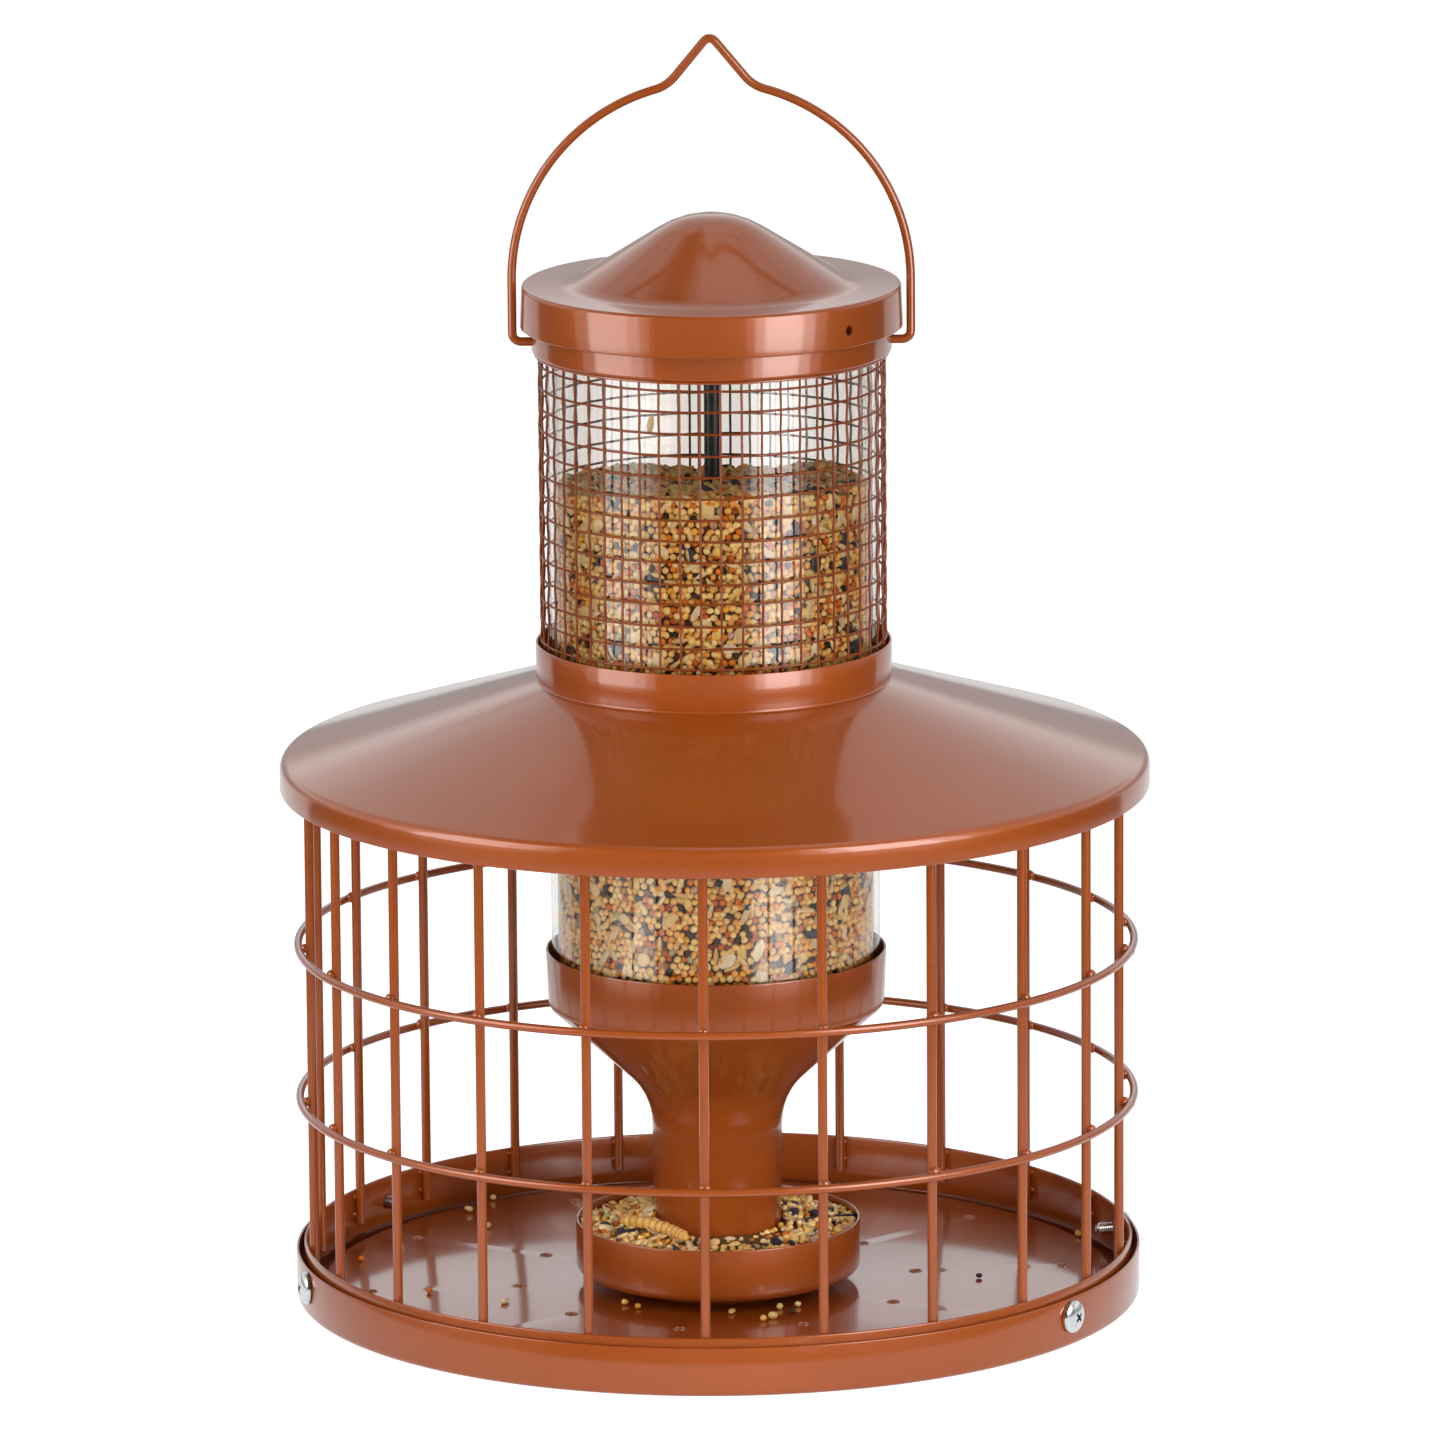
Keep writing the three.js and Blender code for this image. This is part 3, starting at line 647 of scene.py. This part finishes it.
def make_guard():
    """Woven wire cloth bent into a sleeve, whose two ends overlap at the back: uprights and hoops
    pass over and under each other."""
    _, outer, low, high = extent("wire_guard")
    wire, weave, samples, sides = 0.38 * mm, 0.16 * mm, 6, 8
    pitch, top_row, rows = 6.5 * mm, 288.2 * mm, 14
    uprights, step, first_upright, front_turn = 54, math.radians(6.85), -26, math.radians(2.75)
    selvage, lap_steps, lap_slope, lap_depth = math.radians(1.2), 1.6, 0.6, 2.2 * wire
    turn_scatter, bow_scatter, wave_height = 0.0012, 0.0008, 0.2 * mm
    middle = outer - wire - weave
    wobble = rng.normal(0, turn_scatter, uprights)
    bow = rng.normal(0, bow_scatter, uprights)
    heights = np.linspace(low, high, rows * samples)
    starts = front_turn + first_upright * step
    ends = starts + (uprights - 1) * step
    lap = ends - lap_steps * step

    def sleeve(turn):
        """The cloth's radius: its last stretch passes inside the first."""
        return middle - lap_depth * np.clip((turn - lap) / (lap_slope * step), 0, 1)

    parts = []
    for i in range(uprights):
        turn = starts + i * step + wobble[i]
        turns = turn + bow[i] * np.sin((heights - low) / (high - low) * math.pi)
        radii = sleeve(turn) + weave * np.cos(math.pi * (heights - top_row) / pitch + math.pi * i)
        parts.append(sweep(around(radii, turns, heights), directions(turn)[1], wire, sides))
    steps = np.linspace(starts - selvage, ends + selvage, uprights * samples)
    for j in range(rows):
        waves = sum(rng.normal(0, wave_height / k) * np.sin(k * steps + rng.uniform(0, full_turn))
                    for k in (1, 2, 3, 5))
        row = np.maximum(top_row - j * pitch + waves, low + wire)
        radii = sleeve(steps) - weave * np.cos(math.pi * (steps - starts) / step + math.pi * j)
        parts.append(sweep(around(radii, steps, row), up, wire, sides))
    # The wires take the darker copy of the paint, whose colour carries painted shade.
    piece_from("woven_guard", joined(parts), wire_shade_paint, ["wire_guard"], sharp=fine_angle)


bail_low, bail_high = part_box("bail")
bail_wire = 1.35 * mm
bail_pivot = bail_low.z + bail_wire


def make_collar():
    _, radius, low, high = extent("top_collar")
    lip, lip_bend, bore = 1.1 * mm, 1.2 * mm, 1.65 * mm
    collar = pressed("collar_band", [(radius - lip, low), (radius, low, lip_bend), (radius, high)],
                     tube_facets, "top_collar")
    sides = (quarter_turn, -quarter_turn)
    cut(collar, radial_rods(bore, radius - 3 * sheet, radius + sheet, bail_pivot, sides))


def make_lid():
    _, radius, low, _ = extent("lid")
    rim_height, draft, edge_round = 12.3 * mm, 0.55 * mm, 1.2 * mm
    cone, slope, fillet, dome = 43 * mm, math.radians(31.8), 12 * mm, 30.4 * mm
    hole, hole_rise, hole_turn = 1.5 * mm, 4.7 * mm, math.radians(45.5)
    flat = low + rim_height
    path = rounded([(radius, low), (radius - draft, flat, edge_round), (cone, flat, fillet),
                    (0, flat + cone * math.tan(slope), dome), (-cone, flat)])
    near_axis = 0.05 * mm
    path = path[path[:, 0] > near_axis]
    outside = np.concatenate([path, [[0.0, path[-1][1]]]])
    lid = painted("lid_cap", lathe_cap(outside), ["lid"], "lid")
    cut(lid, radial_rods(hole, radius - 3 * sheet, radius + sheet, low + hole_rise,
                         (hole_turn, hole_turn + math.pi)))


def lathe_cap(outside):
    """A domed sheet cap whose path ends on the axis, as a closed shell with a rounded rim."""
    inside = offset(outside, sheet)
    inside[-1, 0] = 0
    middle, arm = (outside[0] + inside[0]) / 2, (outside[0] - inside[0]) / 2
    side = np.array([arm[1], -arm[0]])
    rim_steps = 5
    rim = [middle + arm * math.cos(t) + side * math.sin(t)
           for t in np.linspace(0, math.pi, rim_steps + 1)[1:-1]]
    return revolve([*outside[:-1][::-1], *rim, *inside[:-1]], tube_facets, closed=False)


def make_bail():
    leg = bail_high.x - bail_wire
    bend, rise, shoulder_bend, peak_bend, bow_steps = 3 * mm, 18.8 * mm, 4 * mm, 3 * mm, 40
    shoulder_turn, slope, bail_angle = math.radians(77.5), math.radians(50.4), 50
    start = Vector((extent("seed_tube")[1] + 2 * seat, bail_pivot))
    centre = Vector((0, bail_pivot + rise))
    shoulder = centre + leg * Vector((math.cos(shoulder_turn), math.sin(shoulder_turn)))
    climb = Vector((-math.cos(slope), math.sin(slope)))
    peak = shoulder + climb * (shoulder.x / math.cos(slope))
    half = [start, *curve(Vector((leg - bend, bail_pivot)), Vector((leg, bail_pivot)),
                          Vector((leg, bail_pivot + bend)))]
    half += [centre + leg * Vector((math.cos(a), math.sin(a)))
             for a in np.linspace(0, shoulder_turn - shoulder_bend / leg, bow_steps)]
    half += curve(half[-1], shoulder, shoulder + climb * shoulder_bend)[1:]
    half += curve(peak - climb * peak_bend, peak, peak - Vector((-climb.x, climb.y)) * peak_bend)[:6]
    right = [(p.x, 0, p.y) for p in half if p.x > 0]
    path = right + [(-x, y, z) for x, y, z in right[::-1]]
    painted("hanger_bail", sweep(path, (0, 1, 0), bail_wire, 20), ["bail"], "bail", bail_angle)


def curve(a, tip, b):
    """A smooth bend from a to b that heads for the tip."""
    steps = 10
    shares = [k / steps for k in range(steps + 1)]
    return [a * (1 - t) ** 2 + tip * (2 * t * (1 - t)) + b * t * t for t in shares]


make_roof()
painted("guard_band", upright_band("guard_ring", tube_facets), ["guard_ring"])
make_guard()
make_collar()
make_lid()
make_bail()


# Seed

large_grain = 3 * mm


def grain_shape(taper, rings, sides):
    """A grain along X, of length, width and thickness 1: a round or pointed body."""
    lean = np.linspace(0, math.pi, rings + 2)[1:-1, None]
    along, spin = -np.cos(lean), circle_of(sides)
    swell = np.sin(lean) ** (1 + taper) * (1 - 0.35 * taper * along) / 2
    body = np.stack([np.repeat(along / 2, sides, 1), swell * np.cos(spin), swell * np.sin(spin)], -1)
    points = np.concatenate([body.reshape(-1, 3), [[-0.5, 0, 0], [0.5, 0, 0]]])
    first, last, row = rings * sides, rings * sides + 1, (rings - 1) * sides
    faces = bands(rings, sides, flipped=True)
    faces += [((k + 1) % sides, first, k) for k in range(sides)]
    faces += [(row + k, last, row + (k + 1) % sides) for k in range(sides)]
    return points, faces


class Kind:
    """One kind of grain: its shape, its share by count, and the places that it has been given."""

    def __init__(self, name, share, size, spread, colours, taper=0.0, bend=0.0, rings=4, sides=6,
                 rough=0.5):
        self.name, self.share, self.size, self.spread = name, share, np.array(size) * mm, spread
        self.points, self.faces = grain_shape(taper, rings, sides)
        self.points[:, 2] += bend * (4 * self.points[:, 0] ** 2 - 0.5)
        self.material = grain_material(name, colours, rough)
        self.placed = {}

    def put(self, group, place, axes, scale=1):
        """Adds a grain whose length, width and thickness lie along three axes."""
        grown = self.size * scale * rng.uniform(1 - self.spread, 1 + self.spread, 3)
        self.placed.setdefault(group, []).append((self.points * grown) @ np.array(axes) + place)

    def build(self, group):
        if group in self.placed:
            shape = joined([(points, self.faces) for points in self.placed[group]])
            piece_from(group + "_" + self.name, shape, self.material, sharp=fine_angle)


straw, cream, honey = (0.95, 0.58, 0.15), (0.98, 0.77, 0.34), (0.96, 0.68, 0.27)
gold, amber = (0.95, 0.50, 0.06), (0.88, 0.40, 0.07)
rust, orange, dark_red = (0.62, 0.12, 0.010), (0.90, 0.25, 0.012), (0.26, 0.045, 0.010)
kinds = [
    Kind("millet", 0.54, (2.25, 2.15, 2.0), 0.12, [straw, cream, amber, honey, gold]),
    Kind("red_millet", 0.19, (2.1, 2.0, 1.9), 0.12, [orange, rust, gold, dark_red, orange]),
    Kind("dark_seed", 0.05, (2.3, 1.9, 1.8), 0.2,
         [(0.018, 0.015, 0.014), (0.07, 0.035, 0.02), (0.03, 0.026, 0.026)]),
    Kind("oat", 0.10, (5.2, 1.9, 1.6), 0.2,
         [(0.84, 0.60, 0.26), (0.70, 0.44, 0.15), (0.90, 0.72, 0.42)], taper=0.35),
    Kind("hull", 0.022, (6.2, 2.8, 0.9), 0.25,
         [(0.78, 0.62, 0.38), (0.68, 0.48, 0.25), (0.86, 0.74, 0.50)], taper=0.2, bend=0.5),
    Kind("flake", 0.015, (5.4, 4.2, 1.5), 0.2,
         [(0.88, 0.66, 0.32), (0.82, 0.55, 0.22), (0.90, 0.74, 0.44)], sides=7),
    Kind("sunflower", 0.012, (8.0, 4.0, 2.4), 0.15,
         [(0.025, 0.025, 0.03), (0.06, 0.06, 0.07)], taper=0.45, rings=6, sides=8, rough=0.6),
    Kind("cracked_corn", 0.035, (3.6, 3.0, 2.3), 0.25,
         [(0.86, 0.55, 0.12), (0.90, 0.70, 0.30)], rings=3, sides=5),
    Kind("dyed_seed", 0.02, (2.8, 2.4, 2.2), 0.15,
         [(0.62, 0.24, 0.22), (0.40, 0.42, 0.16), (0.66, 0.34, 0.32)]),
]
small = [k for k in kinds if k.size[0] < large_grain]
large = [k for k in kinds if k.size[0] >= large_grain]
kind_named = {k.name: k for k in kinds}


def build_grains(group):
    for kind in kinds:
        kind.build(group)


def turned(normal, spin):
    """Three axes: two in the plane square to the normal, turned by spin, and the normal."""
    normal = np.asarray(normal, float) / np.linalg.norm(normal)
    u = np.cross(up if abs(normal[2]) < 0.9 else (0, 1, 0), normal)
    u /= np.linalg.norm(u)
    v = np.cross(normal, u)
    return math.cos(spin) * u + math.sin(spin) * v, -math.sin(spin) * u + math.cos(spin) * v, normal


def covered(taken, outer, turn, height):
    """Whether one of the large grains on a wall lies over a place there."""
    if not len(taken):
        return False
    reach = 4 * mm
    dx, dz = taken[:, 0] - (turn % full_turn) * outer, height - taken[:, 1]
    near = (np.abs(dx) < reach) & (np.abs(dz) < reach)
    c, s = np.cos(taken[near, 2]), np.sin(taken[near, 2])
    a, b = dx[near] * c + dz[near] * s, -dx[near] * s + dz[near] * c
    return ((a / taken[near, 3]) ** 2 + (b / taken[near, 4]) ** 2 < 1).any()


def fill_wall(group, outer, level, low, high):
    """Grains packed against the inside of a round wall, between two heights, the large ones first."""
    pitch, row_pitch, grain_area = 2.25 * mm, 0.88, 3.6 * mm ** 2
    large_density, cover = 0.5, 0.42
    layers, layer_shift, layer_rise, back_share = (0.0, 1.5 * mm), 0.33, 0.25, 0.45
    turn_scatter, rise_scatter, most_sunk = 0.2, 0.18, 1.35
    taken = []
    total = full_turn * outer * (high - low) / grain_area
    for kind in sorted(large, key=lambda k: -k.size[0]):
        for _ in range(int(total * kind.share * large_density)):
            turn, height = rng.uniform(0, full_turn), rng.uniform(low, high)
            spin = rng.uniform(0, math.pi)
            if height > level(outer, turn):
                continue
            place = around(outer - kind.size[2] / 2, turn, height)
            kind.put(group, place, turned(around(1.0, turn), spin))
            taken.append((turn * outer, height, spin, kind.size[0] * cover, kind.size[1] * cover))
    taken = np.array(taken)
    choice = np.array([k.share for k in small])
    choice /= choice.sum()
    rows = int((high - low) / (pitch * row_pitch))
    for layer, depth in enumerate(layers):
        wall = outer - depth
        count = int(full_turn * wall / pitch)
        for j in range(rows):
            height = low + (j + 0.5 + layer_rise * layer) * (high - low) / rows
            for i in range(count):
                steps = i + 0.5 * (j % 2) + layer_shift * layer + rng.uniform(-turn_scatter, turn_scatter)
                turn = steps * full_turn / count
                z = height + rng.uniform(-rise_scatter, rise_scatter) * pitch
                if z > level(outer, turn) or (layer and rng.random() > back_share):
                    continue
                if layer == 0 and covered(taken, outer, turn, z):
                    continue
                kind = small[rng.choice(len(small), p=choice)]
                place = around(wall - kind.size[2] / 2 * rng.uniform(1.0, most_sunk), turn, z)
                kind.put(group, place, turned(around(1.0, turn), rng.uniform(0, math.pi)))


def heap(group, inner, outer, level, pitch, layers=2, share_of_large=1.0):
    """Loose grains over a ring, at a level that depends on radius and turn."""
    layer_depth, scatter, lean, room = 1.4 * mm, 0.5, 0.45, 0.45
    weights = np.array([k.share * (share_of_large if k in large else 1) for k in kinds])
    weights /= weights.sum()
    count = int(math.pi * (outer ** 2 - inner ** 2) / pitch ** 2)
    for layer in range(layers):
        for _ in range(count):
            radius = math.sqrt(rng.uniform(inner ** 2, outer ** 2))
            turn = rng.uniform(0, full_turn)
            kind = kinds[rng.choice(len(kinds), p=weights)]
            radius = min(max(radius, inner + kind.size[0] * room), outer - kind.size[0] * room)
            height = level(radius, turn) - layer * layer_depth + rng.uniform(-scatter, scatter) * mm
            normal = (*rng.normal(0, lean, 2), 1.0)
            kind.put(group, around(radius, turn, height), turned(normal, rng.uniform(0, math.pi)))


def make_seed():
    wall = extent("seed_tube")[0] - 0.15 * mm
    top = extent("seed_fill")[3]
    core_depth, bed_depth, hole, core_facets, top_pitch = 2.7 * mm, 2.0 * mm, 3.2 * mm, 96, 2.1 * mm
    fall, lump_rise, lump_width, lump_x, lump_y = 7.8 * mm, 4 * mm, 11 * mm, 30 * mm, 27 * mm

    def level(radius, turn):
        x, y = radius * math.sin(turn), -radius * math.cos(turn)
        waves = 0.8 * math.sin(2 * turn + 0.6) + 0.6 * math.sin(3 * turn + 2.1) + 0.4 * math.sin(7 * turn)
        lump_here = lump_rise * math.exp(-((x - lump_x) ** 2 + (y - lump_y) ** 2) / lump_width ** 2)
        return top - fall * (0.5 + y / (2 * wall)) + waves * mm + lump_here

    core_wall, core_top = wall - core_depth, top - bed_depth
    spout = offset(rounded(funnel_corners), sheet + core_depth)[:-3].tolist()
    core = [p for p in [(hole, funnel_low + sheet), *spout] if p[0] < core_wall]
    core += [(core_wall, cup_foot + core_depth * 2), (core_wall, core_top), (core_wall / 2, core_top),
             (hole, core_top)]
    points, faces = revolve(core, core_facets)
    points[:, 2] = [z if z < top - 2 * bed_depth else
                    level(math.hypot(x, y), math.atan2(x, -y)) - bed_depth for x, y, z in points]
    # The core's dark colour is painted shade: it shows in the gaps between the grains.
    piece_from("seed_core", (points, faces), gap_shade_material("seed_gap_shade"), ["seed_fill"])
    middle_low, middle_high = 158 * mm, 206 * mm
    zones = [("fill_low", funnel_high - 8 * mm, middle_low), ("fill_mid", middle_low, middle_high),
             ("fill_high", middle_high, top + lump_rise)]
    for group, low, high in zones:
        fill_wall(group, wall, level, low, high)
    showpieces = (("fill_low", "hull", 4, 113.3), ("fill_low", "oat", -42, 118.4),
                  ("fill_low", "flake", -17, 125.5), ("fill_high", "oat", -23, 277))
    for group, name, turn, height in showpieces:
        kind, turn = kind_named[name], math.radians(turn)
        axes = turned(around(1.0, turn), rng.uniform(0, math.pi))
        kind.put(group, around(wall - kind.size[2] / 2, turn, height * mm), axes, 1.2)
    for group, _, _ in zones:
        build_grains(group)
    heap("fill_top", hole, wall, level, top_pitch)
    build_grains("fill_top")


def make_dish_seed():
    _, dish_radius, dish_low, dish_high = extent("seed_dish")
    heap_top = extent("dish_seed")[3]
    edge = dish_high - 1.6 * mm
    outer = dish_radius - sheet - 0.2 * mm
    inner = spout_foot + 0.6 * mm
    sink, slopes = 0.8 * mm, ((140, 4 * mm), (-75, 3 * mm), (0, -2 * mm))
    pitch, layers, share_of_large, core_facets = 2.3 * mm, 3, 2.4, 96

    def level(radius, turn):
        share = (outer - radius) / (outer - inner)
        slope = sum(max(0.0, math.cos(turn - math.radians(at))) ** 2 * rise for at, rise in slopes)
        return edge + share * (heap_top - edge) + share * slope - sink

    section = [(inner, dish_low + sheet), (outer - 4 * mm, dish_low + sheet), (outer, dish_low + 5 * mm),
               (outer, edge - 3 * mm), (inner, edge + 0.5 * mm)]
    # The dish core's dark colour is painted shade: it shows in the gaps between the grains.
    piece_from("dish_core", revolve(section, core_facets), gap_shade_material("dish_gap_shade"), ["dish_seed"])
    heap("dish", inner, outer, level, pitch, layers, share_of_large)
    build_grains("dish")


def make_mealworm():
    """A dried mealworm on top of the seed in the dish, with its rings."""
    radius, rings, samples, sides, degree = 1.85 * mm, 13, 6, 14, 4
    end_slope, end_least, groove, ring_sharpness = 9, 0.02, 0.3, 0.4
    places = [(-29.8, -14.5, 24.6), (-25, -18.8, 25.6), (-20.1, -23.2, 25.8), (-15.2, -26.8, 25.2),
              (-11.9, -29.6, 24.4), (-9.3, -32.4, 23.6)]
    along = np.linspace(0, len(places) - 1, rings * samples + 1)
    fit = [np.polyfit(range(len(places)), [p[axis] for p in places], degree) for axis in range(3)]
    path = np.stack([np.polyval(c, along) for c in fit], 1) * mm
    share = np.linspace(0, 1, len(along))
    ends = np.clip(np.minimum(share, 1 - share) * end_slope, end_least, 1) ** 0.5
    waves = np.abs(np.sin(math.pi * rings * share)) ** ring_sharpness
    radii = radius * ends * ((1 - groove) + groove * waves)
    shell = grain_material("worm_shell", [(0.66, 0.36, 0.09), (0.72, 0.42, 0.12)], 0.35, 260.0)
    piece_from("mealworm", sweep(path, up, radii, sides), shell)


def make_spill():
    """Loose grains under the dish's edge and over the tray, at places in mm."""
    places = [(-28.5, -31), (-24.5, -35.8), (4, -42), (13.5, -51.2), (16.4, -48.5), (18.5, -37.5),
              (22.2, -43), (24, -35), (-88.2, -15.3), (-64.9, -27.9), (-70.5, 98.5), (-77.8, 83.6),
              (-71.5, 63.4), (79.7, -2.2), (111.5, 48), (-110, 24)]
    names = ["millet", "red_millet", "oat", "millet", "cracked_corn", "millet", "dark_seed"]
    for i, (x, y) in enumerate(places):
        kind = kind_named[names[i % len(names)]]
        place = np.array([x * mm, y * mm, tray_floor + kind.size[2] / 2])
        kind.put("spilled", place, turned(up, rng.uniform(0, math.pi)))
    build_grains("spilled")


make_seed()
make_dish_seed()
make_mealworm()
make_spill()


# Studio

white = (1, 1, 1, 1)


def make_floor():
    """A white floor. Mirrors see it bright near the object and behind it, and grey in the dark front."""
    material, tree, shader = new_material("floor_white")
    tree.give(shader, {"Base Color": (0.8, 0.8, 0.8, 1), "Roughness": 0.9})
    x, y, _ = tree.coordinates("Object")
    radius = tree.math("SQRT", tree.math("ADD", tree.times(x, x), tree.times(y, y)))
    near = tree.rise(radius, 0.3, 0.6, 1.0, 0.04)
    behind = tree.rise(tree.math("DIVIDE", y, radius), 0.585, 0.62)
    strength = tree.math("MAXIMUM", near, tree.times(behind, 0.85))
    matt, glow = shader.outputs[0], tree.shader("Emission", Color=white, Strength=0.8)
    mirrored = tree.shader("Emission", Color=white, Strength=strength)
    straight, glossy = tree.rays()
    seen = tree.shader("MixShader", straight, matt, tree.shader("AddShader", matt, glow))
    tree.give(tree.nodes["Material Output"], {"Surface": tree.shader("MixShader", glossy, seen, mirrored)})
    half, sink = 5.0, 0.05 * mm
    mesh = bpy.data.meshes.new("floor")
    corners = [(-half, -half, 0), (half, -half, 0), (half, half, 0), (-half, half, 0)]
    mesh.from_pydata(corners, [], [(0, 1, 2, 3)])
    mesh.materials.append(material)
    floor = new_object("floor", mesh)
    floor.location.z = -sink


def line_at(tree, source, place, half_width, depth):
    """One away from a place and one less depth on it, as the shade of a thin dark line."""
    away = tree.math("ABSOLUTE", tree.math("SUBTRACT", source, place))
    return tree.rise(away, half_width * 0.5, half_width, 1 - depth, 1.0)


def mirrored_room(tree):
    """How bright the room looks in glossy surfaces, by direction: a dark front, a pale rear wall that
    carries a round lamp with a dark rim on a stand, and a ceiling panel with a gap."""
    x, y, z = tree.coordinates("Generated")
    greys = ((0.0, 0.20), (0.17, 0.27), (0.25, 0.64), (0.45, 0.42), (0.74, 0.37), (0.86, 0.55))
    wall = tree.ramp(z, [(at, (grey,) * 3) for at, grey in greys])
    wall_light, gap_light, front_light = 2.0, 0.08, 0.04
    sideways, overhead = tree.math("DIVIDE", x, y), tree.math("DIVIDE", x, z)
    gap = tree.times(tree.rise(overhead, -0.85, -0.70), tree.rise(overhead, -0.16, -0.06, 1.0, 0.0),
                     tree.rise(z, 0.80, 0.88))
    lamp_height, lamp_half = math.radians(37), math.radians(28.5)
    facing = tree.math("ADD", tree.times(y, math.cos(lamp_height)), tree.times(z, math.sin(lamp_height)))
    shade = line_at(tree, facing, math.cos(lamp_half), 0.005, 0.9)
    for place, half_width, depth in ((-0.21, 0.02, 0.35), (-0.498, 0.012, 0.8)):
        shade = tree.times(shade, line_at(tree, sideways, place, half_width, depth))
    shade = tree.math("MAXIMUM", shade, tree.rise(z, 0.36, 0.32))
    strength = tree.times(wall, wall_light, shade, tree.rise(gap, 0.0, 1.0, 1.0, gap_light))
    rear = tree.rise(y, -0.35, 0.1)
    return tree.math("ADD", tree.times(rear, tree.math("SUBTRACT", strength, front_light)), front_light)


def make_world():
    world = bpy.context.scene.world or bpy.data.worlds.new("studio")
    bpy.context.scene.world = world
    world.use_nodes = True
    tree = Tree(world.node_tree)
    tree.nodes.clear()
    room = tree.shader("Background", Color=white, Strength=0.34)
    backdrop = tree.shader("Background", Color=white, Strength=1.0)
    mirrored = tree.shader("Background", Color=white, Strength=mirrored_room(tree))
    straight, glossy = tree.rays()
    lit = tree.shader("MixShader", glossy, room, mirrored)
    tree.add("OutputWorld", Surface=tree.shader("MixShader", straight, lit, backdrop))


def place_lamp(name, lamp, place, ahead):
    piece = new_object(name, lamp)
    piece.location, piece.rotation_euler = place, ahead.to_track_quat("-Z", "Y").to_euler()
    piece.visible_camera = False
    return piece


def softbox(name, azimuth, elevation, distance, width, height, radiance, target, mirrored=False):
    """A rectangular lamp that faces the target, at a turn from the front and an angle above the horizon.
    Either matt surfaces see it or, when it is mirrored, only glossy ones."""
    lamp = bpy.data.lights.new(name, "AREA")
    lamp.shape = "RECTANGLE"
    lamp.size, lamp.size_y = width, height
    lamp.energy = radiance * math.pi * width * height
    a, e = math.radians(azimuth), math.radians(elevation)
    away = Vector((math.sin(a) * math.cos(e), -math.cos(a) * math.cos(e), math.sin(e)))
    piece = place_lamp(name, lamp, target + away * distance, -away)
    piece.visible_diffuse, piece.visible_glossy = not mirrored, mirrored


def strip(name, start, end, low, high, radiance):
    """An upright strip lamp between two turns from the front, which only glossy surfaces see."""
    distance, target = 0.52, Vector((0, 0, (low + high) / 2))
    width = 2 * distance * math.tan(math.radians(end - start) / 2)
    softbox(name, (start + end) / 2, 0, distance, width, high - low, radiance, target, mirrored=True)


def low_spot(power):
    """A soft spot lamp under the eaves, from the right of the front, for the spout and the dish."""
    lamp = bpy.data.lights.new("low_spot", "SPOT")
    lamp.energy, lamp.shadow_soft_size = power, 0.2
    lamp.spot_size, lamp.spot_blend = math.radians(7), 0.6
    target, place = Vector((0, 0, 0.055)), Vector((0.55, -1.3, 0.2))
    place_lamp("low_spot", lamp, place, target - place).visible_glossy = False


def make_lamps():
    target, low_target = Vector((0, 0, 0.19)), Vector((0, 0, 0.06))
    softbox("left_softbox", -64, 18, 1.25, 0.85, 1.5, 1.7, target)
    softbox("right_softbox", 44, 18, 1.25, 0.55, 1.5, 2.2, target)
    softbox("top_softbox", 0, 78, 1.2, 1.1, 1.1, 0.8, target)
    softbox("front_fill", 0, 4, 1.2, 1.2, 0.45, 4.4, low_target)
    low_spot(150.0)
    levels = (("low", 0.0, 0.07, 0.2, 0.2), ("funnel", 0.07, 0.105, 0.9, 0.9),
              ("ring", 0.105, 0.124, 1.8, 1.6), ("tube", 0.124, 0.19, 5.6, 8.2),
              ("lid", 0.19, 0.6, 5.4, 9.0))
    profiles = (("left", ((-86, -76, 0.2), (-76, -50, 1.0), (-50, -42, 0.7), (-42, -36, 0.3))),
                ("right", ((20, 25, 0.12), (25, 31, 0.5), (31, 54, 1.0), (54, 62, 0.5), (62, 70, 0.12))))
    for level, low, high, *radiances in levels:
        for (side, steps), radiance in zip(profiles, radiances):
            for i, (start, end, share) in enumerate(steps):
                strip("%s_%s_%d" % (side, level, i), start, end, low, high, radiance * share)


def make_camera():
    camera = bpy.data.cameras.new("camera")
    camera.sensor_width = 36.0
    camera.lens = 312.3
    piece = new_object("camera", camera)
    piece.location = (0, -3.7129, 0.9777)
    down, yaw, roll = 0.21252, -0.00066, -0.0072
    aim = Euler((quarter_turn - down, 0, yaw)).to_quaternion() @ Quaternion((0, 0, 1), roll)
    piece.rotation_euler = aim.to_euler()
    bpy.context.scene.camera = piece


make_floor()
make_world()
make_lamps()
make_camera()
bpy.context.scene.view_settings.view_transform = "Standard"
